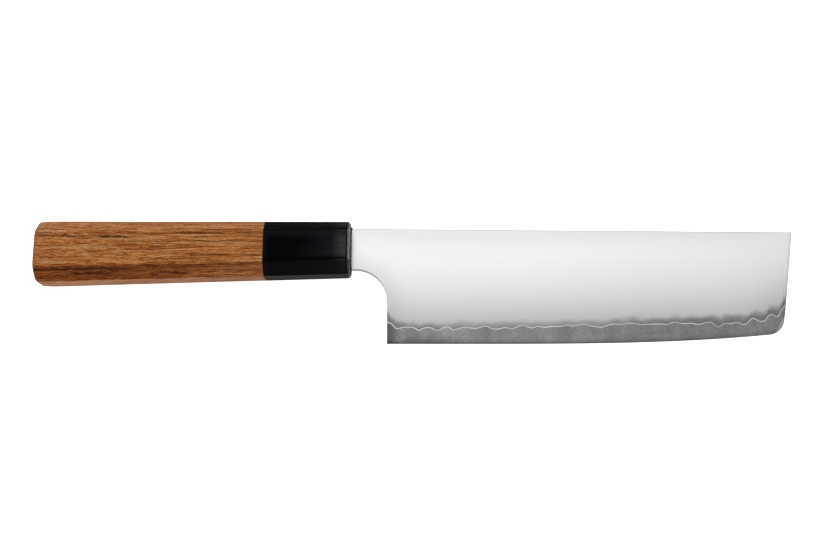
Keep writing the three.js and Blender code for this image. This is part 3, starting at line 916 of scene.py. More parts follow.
# The wood's growth, in metres
SWAY_REACH = (0.0, 0.0042, 0.0042)
FIBRE_SCATTER = 0.25
GRAIN_FACE_Z = float(ORIGIN[2]) + WIDTH_AT_BUTT / 2 * MM
GRAIN_ARCH = 9.0  # per metre
PORE_LIMITS = (0.6, 0.72)
VEIN_WANDER = 0.0011
VEIN_WIDTHS = (0.3, 0.7, 0.45, 1.5)
VEIN_BODY = (0.4, 1.0, 1.0, 0.0)
VEIN_START = (0.0, 0.3)
VEIN_END = (0.65, 1.0, 1.0, 0.0)
VEIN_GAPS = (0.3, 0.5, 0.5, 1.0)
VEIN_DEPTHS = (GRAIN_FACE_Z - 0.014, GRAIN_FACE_Z - 0.005, 0.4, 1.0)

FINE_GRAIN = 8.0  # how much finer the mottle's grain is than its clouds


# Effects that several finishes share

def make_polish_lines():
    """Fine lines that polishing leaves along the knife, of mixed length."""
    tree, given, out = new_group("polish_lines", {"Fineness": 1.0}, ["Lines"])
    finer = scaled(tree, given["Vector"], given["Fineness"])
    both = [(pattern(tree, finer, kind), 0.5) for kind in (LONG_POLISH_LINES, SHORT_POLISH_LINES)]
    tree.links.new(blended(tree, 0.0, *both), out["Lines"])
    return tree


def arch(tree, vector):
    """How far the growth layers have risen at a depth below the handle's right side."""
    depth = calculate(tree, "SUBTRACT", GRAIN_FACE_Z, axes_of(tree, vector)["Z"])
    return times(tree, depth, depth, GRAIN_ARCH)


def make_wood_fibres():
    """Wood along the knife: broad growth layers, streaks, fine fibres, short flecks, nicks and open pores."""
    labels = ("Growth", "Streaks", "Fibres", "Flecks", "Nicks", "Pores")
    tree, given, out = new_group("wood_fibres", {"Waviness": 1.0}, labels)
    sway = vector_math(tree, "SUBTRACT", pattern(tree, given["Vector"], GRAIN_SWAY, "Color"), grey(0.5))
    sway = scaled(tree, vector_math(tree, "MULTIPLY", sway, SWAY_REACH), given["Waviness"])
    bent = vector_math(tree, "ADD", given["Vector"], sway)
    # Growth layers are sheets that arch through the thickness, as the end grain shows
    rise = add_node(tree, "ShaderNodeCombineXYZ", {"Y": times(tree, arch(tree, bent), -1.0)})
    arched = vector_math(tree, "ADD", bent, rise.outputs[0])
    # Neighbouring fibres start and end at different places along the grain
    scatter = times(tree, pattern(tree, bent, FIBRE_STARTS), FIBRE_SCATTER)
    start = add_node(tree, "ShaderNodeCombineXYZ", {"X": scatter})
    laid = vector_math(tree, "ADD", bent, start.outputs[0])
    patterns = [
        pattern(tree, arched, GROWTH_LAYERS),
        pattern(tree, laid, WOOD_STREAKS),
        pattern(tree, laid, WOOD_THREADS),
        pattern(tree, bent, WOOD_FLECKS),
        pattern(tree, bent, WOOD_NICKS),
        fade(tree, pattern(tree, laid, PORE_DASHES), *PORE_LIMITS),
    ]
    for label, value in zip(labels, patterns):
        tree.links.new(value, out[label])
    return tree


def make_wood_vein():
    """One vein in the wood: a thin, slightly wandering line along the knife that fades in and out."""
    labels = ("Start", "End", "Height", "Slope", "Half Width", "Strength")
    tree, given, out = new_group("wood_vein", dict.fromkeys(labels, 0.0), ["Mask"])
    vector = given["Vector"]
    axes = axes_of(tree, vector)
    run = calculate(tree, "SUBTRACT", axes["X"], given["Start"])
    share = calculate(tree, "DIVIDE", run, calculate(tree, "SUBTRACT", given["End"], given["Start"]))
    wander = calculate(tree, "SUBTRACT", pattern(tree, vector, VEIN_COURSE), 0.5)
    middle = blended(tree, given["Height"], (run, given["Slope"]), (wander, VEIN_WANDER))
    middle = calculate(tree, "ADD", middle, arch(tree, vector))
    off = calculate(tree, "ABSOLUTE", calculate(tree, "SUBTRACT", axes["Y"], middle))
    width = times(tree, given["Half Width"], fade(tree, pattern(tree, vector, VEIN_BORDER), *VEIN_WIDTHS))
    mask = times(
        tree,
        fade(tree, calculate(tree, "DIVIDE", off, width), *VEIN_BODY),
        fade(tree, share, *VEIN_START),
        fade(tree, share, *VEIN_END),
        fade(tree, pattern(tree, vector, VEIN_BREAKS), *VEIN_GAPS),
        fade(tree, axes["Z"], *VEIN_DEPTHS),
        given["Strength"],
    )
    tree.links.new(mask, out["Mask"])
    return tree


def make_mottle():
    """Soft cloudy variation, with a finer grain over it."""
    tree, given, out = new_group("mottle", {"Size": 100.0}, ["Clouds", "Grain"])
    tree.links.new(noise(tree, given["Vector"], given["Size"]), out["Clouds"])
    finer = times(tree, given["Size"], FINE_GRAIN)
    tree.links.new(noise(tree, given["Vector"], finer, detail=3.0, roughness=0.6), out["Grain"])
    return tree


POLISH_LINES = make_polish_lines()
WOOD_FIBRES = make_wood_fibres()
WOOD_VEIN = make_wood_vein()
MOTTLE = make_mottle()


def polish_lines(tree, where, fineness):
    return place_group(tree, POLISH_LINES, {"Vector": where, "Fineness": fineness})["Lines"]


def mottle(tree, where, size, stretch=None):
    vector = stretched(tree, where, stretch) if stretch else where
    return place_group(tree, MOTTLE, {"Vector": vector, "Size": size})


# The steels: fades by place run over millimetres from the bond line and the blade's borders

BLADE_LENGTH = TIP_X - HEEL_X
POLISH_DEPTH = 0.000004  # metres, as all depths of bumps are

POLISH_HEIGHT = 40.0  # from the bond line to the spine
# The polish's own tone with a painted reflection gradient over it: bright below the spine, darker towards the
# bond line
POLISH_AND_REFLECTION_BY_HEIGHT = [
    (0.0, 0.33), (0.06, 0.40), (0.13, 0.445), (0.25, 0.515), (0.4, 0.585), (0.55, 0.63), (0.72, 0.66),
    (0.84, 0.645), (0.93, 0.60), (1.0, 0.61),
]
# Painted reflection that dims towards the front
PAINTED_REFLECTION_ALONG = [(0.0, 1.0), (0.35, 0.985), (0.65, 0.945), (1.0, 0.895)]
POLISH_LINE_TONES = (0.3, 0.7, 0.975, 1.025)
# Painted shade along the front border and towards the round of the choil
POLISH_PAINTED_SHADES = [("from_front", 0.1, 1.5, 0.8, 1.0), ("from_choil", 0.0, 9.0, 0.89, 1.0)]
POLISH_ROUGHNESS = 0.27
LINE_ROUGHNESS = 0.1
CLOUD_SIZE, CLOUD_STRETCH = 260.0, (0.6, 1.0, 1.0)

HAZE_DEPTH_ALONG = [
    (0.0, 0.95), (0.1, 0.9), (0.2, 0.68), (0.38, 0.62), (0.5, 0.58), (0.6, 0.82), (0.72, 1.0), (1.0, 1.0),
]
HAZE_CLIMB_ALONG = [(0.0, 0.0), (0.45, 0.0), (0.62, 0.3), (0.75, 1.0), (1.0, 1.0)]
HAZE_CLIMBS = [
    ("from_heel", 0.0, 9.0, -0.5, 0.0),
    ("from_heel", 0.0, 1.7, -2.6, 0.0),
    ("from_front", 0.0, 2.4, -2.4, 0.0),
]
HAZE_LIMITS = (-0.1, 3.4, 1.0, 0.0)  # heights above the bond line
HAZE_TIP_CLIMB = -0.9
HAZE_RAGGED = 4.0
HAZE_WAVINESS = 0.55  # how closely it follows the waves of the bond line
HAZE_GREYS = [(0.32, 0.155), (0.68, 0.215)]
HAZE_ROUGHNESS = 0.16


def cladding_finish():
    """Satin polish with a painted reflection, bright towards the spine and dimmer towards the front, painted
    shade at the front and choil borders, dulling to a grey haze above the bond line.
    """
    material, tree, shader, where = new_finish("satin_cladding")
    above, above_even = attribute(tree, "above_line"), attribute(tree, "above_even_line")
    along = calculate(tree, "DIVIDE", attribute(tree, "from_heel"), BLADE_LENGTH)
    lines = polish_lines(tree, where, 1.0)
    clouds = mottle(tree, where, CLOUD_SIZE, CLOUD_STRETCH)
    # The polish's tone carries a painted reflection up and along the blade, and painted shade at its front
    # and choil borders
    polish = ramp(tree, calculate(tree, "DIVIDE", above_even, POLISH_HEIGHT), greys(POLISH_AND_REFLECTION_BY_HEIGHT))
    reflection_along = ramp(tree, along, greys(PAINTED_REFLECTION_ALONG))
    by_lines = fade(tree, lines, *POLISH_LINE_TONES)
    polish = shaded(tree, polish, reflection_along, by_lines, *by_place(tree, *POLISH_PAINTED_SHADES))
    # The haze follows the bond line, with a cloudy upper border that climbs at the heel and the front
    height = blended(
        tree,
        HAZE_RAGGED / 2,
        (clouds["Clouds"], -HAZE_RAGGED),
        (above, HAZE_WAVINESS),
        (above_even, 1 - HAZE_WAVINESS),
        (ramp(tree, along, greys(HAZE_CLIMB_ALONG)), HAZE_TIP_CLIMB),
    )
    for climb in by_place(tree, *HAZE_CLIMBS):
        height = calculate(tree, "ADD", height, climb)
    haze = times(tree, fade(tree, height, *HAZE_LIMITS), ramp(tree, along, greys(HAZE_DEPTH_ALONG)))
    dulled = ramp(tree, clouds["Grain"], greys(HAZE_GREYS))
    tree.links.new(mix_colours(tree, haze, polish, dulled), shader["Base Color"])
    shader["Metallic"].default_value = 1.0
    roughness = blended(tree, POLISH_ROUGHNESS, (lines, LINE_ROUGHNESS), (haze, HAZE_ROUGHNESS))
    tree.links.new(roughness, shader["Roughness"])
    bump(tree, shader, lines, POLISH_DEPTH)
    return material


CORE_FINENESS = 1.4
UPRIGHT_SIZE, UPRIGHT_STRETCH = 130.0, (1.0, 0.35, 0.35)
BLASTED_SIZE = 150.0
UPRIGHT_SHARE, CLOUD_SHARE, GRAIN_SHARE, LINE_SHARE = 0.3, 0.2, 0.35, 0.15
CORE_GREYS = [(0.4, 0.18), (0.5, 0.23), (0.6, 0.3)]
LIGHT_PATCH = 1.2
# Painted shade towards the edge, the heel and the front, and a lighter patch along the blade
CORE_PAINTED_SHADES_AND_PATCH = [
    ("above_edge", 0.3, 2.4, 0.78, 1.0),
    ("from_heel", 0.3, 6.0, 0.5, 1.0),
    ("from_front", 30.0, 110.0, 0.86, 1.0),
    ("from_heel", 17.0, 25.0, 1.0, LIGHT_PATCH),
    ("from_heel", 26.0, 37.0, 1.0, 1 / LIGHT_PATCH),
]
# Painted shade along the edge, from about 5 to 36 mm past the heel
PAINTED_EDGE_SHADE = [
    ("from_heel", 5.0, 10.0), ("from_heel", 22.0, 36.0, 1.0, 0.0), ("above_edge", 0.4, 5.0, 0.36, 0.0),
]
# A painted highlight round the nose
NOSE_HIGHLIGHT, NOSE_HIGHLIGHT_GREY = ("from_nose", 0.0, 2.0, 0.65, 0.0), 0.6
# The sharpened bevel is smoother, and painted dark as the dark reflection it shows, less so at the front and
# not at the heel
BEVEL, BEVEL_PAINTED_DARK_GREY = ("above_edge", 0.45, 0.75, 1.0, 0.0), 0.09
BEVEL_PAINTED_DARK_ALONG = [("from_front", 8.0, 35.0, 0.2, 0.9), ("from_heel", 0.0, 12.0)]
CORE_ROUGHNESS = 0.36
BLASTED_ROUGHNESS = 0.2
BEVEL_ROUGHNESS = -0.2
BLASTED_DEPTH = 0.000012
BLASTED_LINES = 0.4


def core_finish():
    """Finely blasted grey steel with lighter patches, painted shade towards the edge, the heel and the front,
    a painted highlight round the nose, and a sharpened bevel along the edge painted dark as a reflection.
    """
    material, tree, shader, where = new_finish("blasted_core")
    lines = polish_lines(tree, where, CORE_FINENESS)
    upright = mottle(tree, where, UPRIGHT_SIZE, UPRIGHT_STRETCH)["Clouds"]
    blasted = mottle(tree, where, BLASTED_SIZE)
    patches = blended(tree, 0.0, (upright, UPRIGHT_SHARE), (blasted["Clouds"], CLOUD_SHARE))
    patches = blended(tree, patches, (blasted["Grain"], GRAIN_SHARE), (lines, LINE_SHARE))
    colour = shaded(tree, ramp(tree, patches, greys(CORE_GREYS)), *by_place(tree, *CORE_PAINTED_SHADES_AND_PATCH))
    # Painted shade: the edge near the heel is mixed towards black
    colour = mix_colours(tree, times(tree, *by_place(tree, *PAINTED_EDGE_SHADE)), colour, grey(0.0))
    colour = mix_colours(tree, by_place(tree, NOSE_HIGHLIGHT)[0], colour, grey(NOSE_HIGHLIGHT_GREY))
    # The bevel gets a painted dark reflection
    bevel = by_place(tree, BEVEL)[0]
    painted_dark_bevel = times(tree, bevel, *by_place(tree, *BEVEL_PAINTED_DARK_ALONG))
    tree.links.new(mix_colours(tree, painted_dark_bevel, colour, grey(BEVEL_PAINTED_DARK_GREY)), shader["Base Color"])
    shader["Metallic"].default_value = 1.0
    roughness = blended(tree, CORE_ROUGHNESS, (blasted["Grain"], BLASTED_ROUGHNESS), (bevel, BEVEL_ROUGHNESS))
    tree.links.new(roughness, shader["Roughness"])
    bump(tree, shader, blended(tree, blasted["Grain"], (lines, BLASTED_LINES)), BLASTED_DEPTH)
    return material


BOND_CLOUD_SIZE = 120.0
BOND_GREYS = [(0.35, 0.36), (0.65, 0.54)]
BOND_ROUGHNESS = 0.22
BOND_LINE_ROUGHNESS = 0.15


def bond_finish():
    """The bright thin layer, a little uneven along its length."""
    material, tree, shader, where = new_finish("bright_bond")
    lines = polish_lines(tree, where, CORE_FINENESS)
    clouds = mottle(tree, where, BOND_CLOUD_SIZE)["Clouds"]
    tree.links.new(ramp(tree, clouds, greys(BOND_GREYS)), shader["Base Color"])
    shader["Metallic"].default_value = 1.0
    tree.links.new(blended(tree, BOND_ROUGHNESS, (lines, BOND_LINE_ROUGHNESS)), shader["Roughness"])
    bump(tree, shader, lines, POLISH_DEPTH)
    return material


# The wooden grip: fades along it run over the knife's own millimetres, others over how its facets lean

DARK_VEINS = [  # x where they start and end, y there, half width, strength
    (-138.0, -97.0, 42.2, 41.9, 0.38, 0.85), (-104.0, -84.0, 41.9, 41.8, 0.62, 1.0),
    (-71.0, -48.0, 43.3, 43.6, 0.4, 0.6), (-48.0, -32.0, 43.6, 43.7, 0.42, 0.8),
    (-115.0, -20.0, 39.5, 40.5, 0.3, 0.6), (-88.0, -54.0, 32.4, 33.2, 0.36, 0.75),
    (-150.0, -72.0, 28.0, 29.4, 0.72, 0.74), (-116.0, -90.0, 27.1, 27.4, 0.55, 0.8),
    (-96.0, -20.0, 29.8, 31.2, 0.36, 0.6), (-48.0, -30.0, 34.0, 34.4, 0.3, 0.75),
    (-78.0, -62.0, 27.6, 27.9, 0.5, 0.7),
]
LIGHT_VEINS = [
    (-127.0, -110.0, 44.0, 43.8, 0.7, 0.8), (-124.0, -92.0, 37.2, 37.5, 0.6, 0.7),
    (-127.0, -112.0, 31.2, 31.0, 0.5, 0.7), (-100.0, -60.0, 36.0, 36.4, 0.3, 0.5),
    (-75.0, -49.0, 42.5, 42.8, 0.45, 0.75), (-108.0, -70.0, 40.8, 41.0, 0.4, 0.6),
    (-66.0, -30.0, 38.3, 38.7, 0.4, 0.6),
]
DARK_VEIN, LIGHT_VEIN = (0.05, 0.021, 0.011), (0.62, 0.35, 0.15)

GROWTH_SHARE, STREAK_SHARE = 0.3, 1.35  # how strongly each shows in the wood's tone
WOOD_TONES = [
    (0.26, (0.19, 0.042, 0.005)), (0.4, (0.385, 0.108, 0.019)), (0.5, (0.505, 0.16, 0.032)),
    (0.62, (0.585, 0.21, 0.047)), (0.76, (0.635, 0.272, 0.083)),
]
WAVY_TO_BUTT = (-48.55, -113.55, 0.55, 1.5)
FLECKED_TO_BUTT = (-43.55, -93.55, 0.3, 0.5)
END_GRAIN = (BUTT_X, BUTT_X + 1.5)  # darker, with less contrast
TAN_FIBRES, TAN_LIMITS, TAN_SHARES = (0.63, 0.37, 0.165), (0.51, 0.6), (0.3, 0.8)
BROWN_FIBRES, BROWN_LIMITS, BROWN_SHARES = (0.15, 0.036, 0.005), (0.49, 0.39), (0.5, 0.85)
DARK_THREADS, THREAD_LIMITS = (0.1, 0.032, 0.01), (0.4, 0.33, 0.0, 0.36)
NICK_TONES = (0.3, 0.7, 0.72, 1.28)
OPEN_PORES, PORE_SHARE = (0.1, 0.03, 0.008), 0.5
LOWER_CHAMFER = [("lean", -0.3, -0.9), ("lean", -1.7, -1.2)]
# Painted shade on the lower chamfer, deeper towards the butt
LOWER_PAINTED_SHADE_TO_BUTT, LOWER_SHADE_TINT = (-38.55, -88.55, 0.34, 1.0), (0.54, 0.42, 0.32)
END_GRAIN_SHADE = (0.6, 1.0)
# Painted shade by how each facet leans: on the upper chamfers and top, and on the underside
FACET_PAINTED_SHADES = [("lean", 0.2, 0.9, 1.0, 0.92), ("lean", -1.9, -1.2, 0.9, 1.0)]
WOOD_ROUGHNESS = 0.34
FIBRE_ROUGHNESS = 0.22
WOOD_GLOSS = 0.055
WOOD_DEPTH = 0.00004


def lay_veins(tree, where, veins):
    """All the given veins as one mask."""
    covered = 0.0
    for start, end, start_y, end_y, half_width, strength in veins:
        start_place, end_place = placed([start, start_y, 0.0]), placed([end, end_y, 0.0])
        mask = place_group(tree, WOOD_VEIN, {
            "Vector": where,
            "Start": start_place[0],
            "End": end_place[0],
            "Height": start_place[1],
            "Slope": (end_y - start_y) / (end - start),
            "Half Width": half_width * MM,
            "Strength": strength,
        })["Mask"]
        covered = calculate(tree, "MAXIMUM", covered, mask)
    return covered


def grip_finish():
    """Oiled brown hardwood with dark and light veins, wavy towards the butt, with painted shade on the lower
    chamfer, the upper facets and the underside.
    """
    material, tree, shader, where = new_finish("oiled_hardwood")
    along = own_axes(tree, where)["X"]
    grain = place_group(tree, WOOD_FIBRES, {"Vector": where, "Waviness": fade(tree, along, *WAVY_TO_BUTT)})
    fibres = grain["Fibres"]
    even_tone = 0.5 - 0.5 * (GROWTH_SHARE + STREAK_SHARE)
    tone = blended(tree, even_tone, (grain["Growth"], GROWTH_SHARE), (grain["Streaks"], STREAK_SHARE))
    colour = ramp(tree, tone, WOOD_TONES)
    flecked = calculate(tree, "SUBTRACT", grain["Flecks"], fibres)
    fine = blended(tree, fibres, (flecked, fade(tree, along, *FLECKED_TO_BUTT)))
    for fibre, limits, shares in (
        (TAN_FIBRES, TAN_LIMITS, TAN_SHARES), (BROWN_FIBRES, BROWN_LIMITS, BROWN_SHARES),
    ):
        share = times(tree, fade(tree, fine, *limits), fade(tree, along, *END_GRAIN, *shares))
        colour = mix_colours(tree, share, colour, fibre)
    colour = mix_colours(tree, fade(tree, grain["Streaks"], *THREAD_LIMITS), colour, DARK_THREADS)
    colour = mix_colours(tree, lay_veins(tree, where, LIGHT_VEINS), colour, LIGHT_VEIN)
    colour = mix_colours(tree, lay_veins(tree, where, DARK_VEINS), colour, DARK_VEIN)
    colour = shaded(tree, colour, fade(tree, grain["Nicks"], *NICK_TONES))
    colour = mix_colours(tree, times(tree, grain["Pores"], PORE_SHARE), colour, OPEN_PORES)
    # Painted shade: the lower chamfer is darker, the more so towards the butt
    darker = times(tree, *by_place(tree, *LOWER_CHAMFER), fade(tree, along, *LOWER_PAINTED_SHADE_TO_BUTT))
    colour = mix_colours(tree, darker, colour, shaded(tree, colour, LOWER_SHADE_TINT))
    # Darker end grain, and painted shade on the facets by how they lean
    end_shade = fade(tree, along, *END_GRAIN, *END_GRAIN_SHADE)
    colour = shaded(tree, colour, end_shade, *by_place(tree, *FACET_PAINTED_SHADES))
    tree.links.new(colour, shader["Base Color"])
    tree.links.new(blended(tree, WOOD_ROUGHNESS, (fibres, FIBRE_ROUGHNESS)), shader["Roughness"])
    shader["Specular IOR Level"].default_value = WOOD_GLOSS
    bump(tree, shader, calculate(tree, "SUBTRACT", fine, grain["Pores"]), WOOD_DEPTH)
    return material


# The black ferrule: fades along it run over millimetres ahead of its front face

HORN_CLOUD_SIZE, HORN_CLOUD_STRETCH = 150.0, (0.5, 1.0, 1.0)
SPECKLE_SIZE, SPECKLE_STRETCH = 500.0, (2.5, 0.8, 0.8)
HORN_FINENESS = 0.9
HORN_BLACKS = [(0.4, (0.0014, 0.0014, 0.0019)), (0.72, (0.004, 0.0039, 0.005))]

SANDED_BEHIND, SANDED_TO_FRONT = (-2.1, -1.7, 1.0, 0.0), (-23.0, -6.0)
SANDED_CLOUDS, SANDED_LINES = (0.3, 0.55, 0.6, 1.0), (0.4, 0.6, 0.6, 1.0)
# The sanded marks are real; their paler tone towards the front and on the upper facets is painted sheen
SANDED_SHEEN_TO_FRONT, SANDED_SHEEN_BY_LEAN = (-8.5, -1.8), ("lean", -1.0, -0.2, 0.3, 1.0)
SANDED_DARK, SANDED_WITH_SHEEN = (0.0125, 0.012, 0.0155), (0.06, 0.057, 0.064)
REAR_RUB, REAR_RUB_LIMITS = (0.009, 0.0085, 0.0105), (JOINT_X, JOINT_X + 3.0, 0.6, 0.0)

ON_SIDE, ON_UPPER = (0.2, 0.6, 1.0, 0.0), ("lean", 0.4, 0.8)
ON_LOWER = [("lean", -0.3, -0.9), ("lean", -1.8, -1.2)]
# Painted sheen on the upper border of the sides and the upper chamfer, and painted shade on their lower
# border
SHEEN_HORN = (0.0115, 0.0108, 0.0135)
SIDE_SHEEN, UPPER_SHEEN = ("down", 0.0, 0.3, 0.7, 0.0), ("down", 0.0, 0.7, 0.25, 0.0)
SHADED_HORN = (0.0005, 0.0005, 0.0006)
SIDE_SHADE, UPPER_SHADE = ("down", 0.82, 0.97, 0.0, 0.9), ("down", 0.2, 0.9, 0.2, 1.0)
# Painted sheen on the lower chamfer
LOWER_SHEEN_HORN, LOWER_SHEEN_HORN_SHARE = (0.0085, 0.0082, 0.0098), 0.5
# A painted reflection of the floor on the underside
UNDER_REFLECTION_HORN, UNDERSIDE = (0.0098, 0.0076, 0.0066), ("lean", -1.3, -1.8)

# The rounding's grey is partly its sanded finish and partly painted reflection; its streak is a painted
# highlight
ROUNDING = (-1.5, -1.1)
ROUNDING_LIGHT_BY_LEAN = [("lean", -1.6, -0.8, 0.5, 0.8), ("lean", -0.5, 0.0, 0.0, 0.2)]
ROUNDING_SHADE_ON_LOWER = -0.3
ROUNDING_GREYS = [(0.36, (0.042, 0.039, 0.036)), (0.62, (0.17, 0.161, 0.149))]
ROUNDING_HIGHLIGHT, ROUNDING_HIGHLIGHT_LIMITS = (0.32, 0.305, 0.285), (0.1, 0.4, 0.75, 0.0)
ROUNDING_HIGHLIGHT_BEHIND, ROUNDING_HIGHLIGHT_SWAY = 0.45, 1.6
FACE, FACE_GREY, FACE_GREY_SHARE = (-0.2, -0.02), (0.055, 0.052, 0.05), 0.85
HORN_ROUGHNESS = 0.22
HORN_CLOUD_ROUGHNESS, HORN_LINE_ROUGHNESS, ROUNDING_ROUGHNESS = 0.16, 0.12, 0.2
HORN_GLOSS = 0.007
HORN_DEPTH = 0.000008


def ferrule_finish():
    """Black horn with a satin gloss, finely sanded towards its front, with painted sheen, shade and
    reflection on its facets, and a front rounding painted grey with a painted highlight streak.
    """
    material, tree, shader, where = new_finish("black_horn")
    ahead = own_axes(tree, where)["X"]
    clouds = mottle(tree, where, HORN_CLOUD_SIZE, HORN_CLOUD_STRETCH)["Clouds"]
    speckle = mottle(tree, where, SPECKLE_SIZE, SPECKLE_STRETCH)["Clouds"]
    lines = polish_lines(tree, where, HORN_FINENESS)
    colour = ramp(tree, clouds, HORN_BLACKS)

    # Painted sheen on the sanded marks, towards the front and away from the lower chamfer
    painted_sheen = times(tree, fade(tree, ahead, *SANDED_SHEEN_TO_FRONT), *by_place(tree, SANDED_SHEEN_BY_LEAN))
    sanded = times(
        tree,
        fade(tree, ahead, *SANDED_BEHIND),
        fade(tree, ahead, *SANDED_TO_FRONT),
        fade(tree, clouds, *SANDED_CLOUDS),
        fade(tree, lines, *SANDED_LINES),
    )
    colour = mix_colours(tree, sanded, colour, mix_colours(tree, painted_sheen, SANDED_DARK, SANDED_WITH_SHEEN))
    colour = mix_colours(tree, fade(tree, ahead, *REAR_RUB_LIMITS), colour, REAR_RUB)

    # On the sides, as on the upper chamfer, painted sheen lightens the upper border and painted shade keeps
    # the lower black
    on_side = fade(tree, calculate(tree, "ABSOLUTE", attribute(tree, "lean")), *ON_SIDE)
    on_upper = by_place(tree, ON_UPPER)[0]
    on_lower = times(tree, *by_place(tree, *ON_LOWER))
    for horn, side, upper in (
        (SHEEN_HORN, SIDE_SHEEN, UPPER_SHEEN), (SHADED_HORN, SIDE_SHADE, UPPER_SHADE),
    ):
        by_side, by_upper = by_place(tree, side, upper)
        colour = mix_colours(tree, blended(tree, 0.0, (on_side, by_side), (on_upper, by_upper)), colour, horn)
    # Painted sheen on the lower chamfer
    colour = mix_colours(tree, times(tree, on_lower, LOWER_SHEEN_HORN_SHARE), colour, LOWER_SHEEN_HORN)
    # Painted reflection of the floor on the underside
    colour = mix_colours(tree, by_place(tree, UNDERSIDE)[0], colour, UNDER_REFLECTION_HORN)

    # Front rounding: dull grey, partly sanded finish and partly painted reflection by facet lean, a painted
    # highlight streak, nearly black on the lower chamfer
    on_face = fade(tree, ahead, *FACE)
    by_lean = calculate(tree, "ADD", *by_place(tree, *ROUNDING_LIGHT_BY_LEAN))
    by_lean = calculate(tree, "MAXIMUM", blended(tree, by_lean, (on_lower, ROUNDING_SHADE_ON_LOWER)), on_face)
    rounding = times(tree, fade(tree, ahead, *ROUNDING), by_lean)
    dull = ramp(tree, speckle, ROUNDING_GREYS)
    highlight_place = blended(tree, ROUNDING_HIGHLIGHT_BEHIND - ROUNDING_HIGHLIGHT_SWAY / 2, (clouds, ROUNDING_HIGHLIGHT_SWAY))
    off = calculate(tree, "ABSOLUTE", calculate(tree, "ADD", ahead, highlight_place))
    dull = mix_colours(tree, fade(tree, off, *ROUNDING_HIGHLIGHT_LIMITS), dull, ROUNDING_HIGHLIGHT)
    dull = mix_colours(tree, times(tree, on_face, FACE_GREY_SHARE), dull, FACE_GREY)
    tree.links.new(mix_colours(tree, rounding, colour, dull), shader["Base Color"])
    roughness = blended(tree, HORN_ROUGHNESS, (clouds, HORN_CLOUD_ROUGHNESS), (lines, HORN_LINE_ROUGHNESS))
    tree.links.new(blended(tree, roughness, (rounding, ROUNDING_ROUGHNESS)), shader["Roughness"])
    shader["Specular IOR Level"].default_value = HORN_GLOSS
    bump(tree, shader, lines, HORN_DEPTH)
    return material


# The filler, the dowel and the resin

FILLER_SIZE = 900.0
FILLER_BLACKS = [(0.35, (0.004, 0.004, 0.005)), (0.7, (0.022, 0.02, 0.02))]
FILLER_GREYS = [(0.35, (0.07, 0.066, 0.062)), (0.65, (0.3, 0.29, 0.275))]
SMEARED = [(SPINE_AT_HANDLE - 3.0, SPINE_AT_HANDLE - 5.5), (NECK_BOTTOM_Y + 2.0, NECK_BOTTOM_Y + 3.0)]
FILLER_ROUGHNESS, FILLER_CLOUD_ROUGHNESS = 0.4, 0.3
FILLER_DEPTH = 0.00003


def seal_finish():
    """Matt and lumpy filler, smeared grey along the neck and black at its ends."""
    material, tree, shader, where = new_finish("black_filler")
    clouds = mottle(tree, where, FILLER_SIZE)
    black, smeared = (ramp(tree, clouds["Clouds"], tones) for tones in (FILLER_BLACKS, FILLER_GREYS))
    height = own_axes(tree, where)["Y"]
    between_ends = times(tree, *(fade(tree, height, *limits) for limits in SMEARED))
    tree.links.new(mix_colours(tree, between_ends, black, smeared), shader["Base Color"])
    roughness = blended(tree, FILLER_ROUGHNESS, (clouds["Clouds"], FILLER_CLOUD_ROUGHNESS))
    tree.links.new(roughness, shader["Roughness"])
    bump(tree, shader, clouds["Grain"], FILLER_DEPTH)
    return material


DOWEL_WAVINESS = 0.3
DOWEL_GROWTH, DOWEL_STREAKS = 0.4, 0.6
DOWEL_TONES = [(0.35, (0.45, 0.29, 0.13)), (0.65, (0.68, 0.49, 0.26))]
DOWEL_ROUGHNESS, DOWEL_FIBRE_ROUGHNESS = 0.5, 0.2


def dowel_finish():
    """Plain pale hardwood."""
    material, tree, shader, where = new_finish("pale_hardwood")
    grain = place_group(tree, WOOD_FIBRES, {"Vector": where, "Waviness": DOWEL_WAVINESS})
    tone = blended(tree, 0.0, (grain["Growth"], DOWEL_GROWTH), (grain["Streaks"], DOWEL_STREAKS))
    tree.links.new(ramp(tree, tone, DOWEL_TONES), shader["Base Color"])
    roughness = blended(tree, DOWEL_ROUGHNESS, (grain["Fibres"], DOWEL_FIBRE_ROUGHNESS))
    tree.links.new(roughness, shader["Roughness"])
    bump(tree, shader, grain["Fibres"], WOOD_DEPTH)
    return material


RESIN_SIZE = 260.0
RESIN_TONES = [(0.35, (0.11, 0.055, 0.012)), (0.7, (0.2, 0.11, 0.03))]
RESIN_ROUGHNESS, RESIN_CLOUD_ROUGHNESS = 0.15, 0.25
RESIN_DEPTH = 0.00005


def resin_finish():
    """Cured amber resin, a little cloudy."""
    material, tree, shader, where = new_finish("amber_resin")
    clouds = mottle(tree, where, RESIN_SIZE)["Clouds"]
    tree.links.new(ramp(tree, clouds, RESIN_TONES), shader["Base Color"])
    tree.links.new(blended(tree, RESIN_ROUGHNESS, (clouds, RESIN_CLOUD_ROUGHNESS)), shader["Roughness"])
    bump(tree, shader, clouds, RESIN_DEPTH)
    return material


# The knife's pieces, each in the place of its solid

def dress(piece, finish, node):
    """Gives a piece its finish and lets it stand for its solid."""
    piece.data.materials.clear()
    piece.data.materials.append(finish)
    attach(piece, "root")
    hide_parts(node)


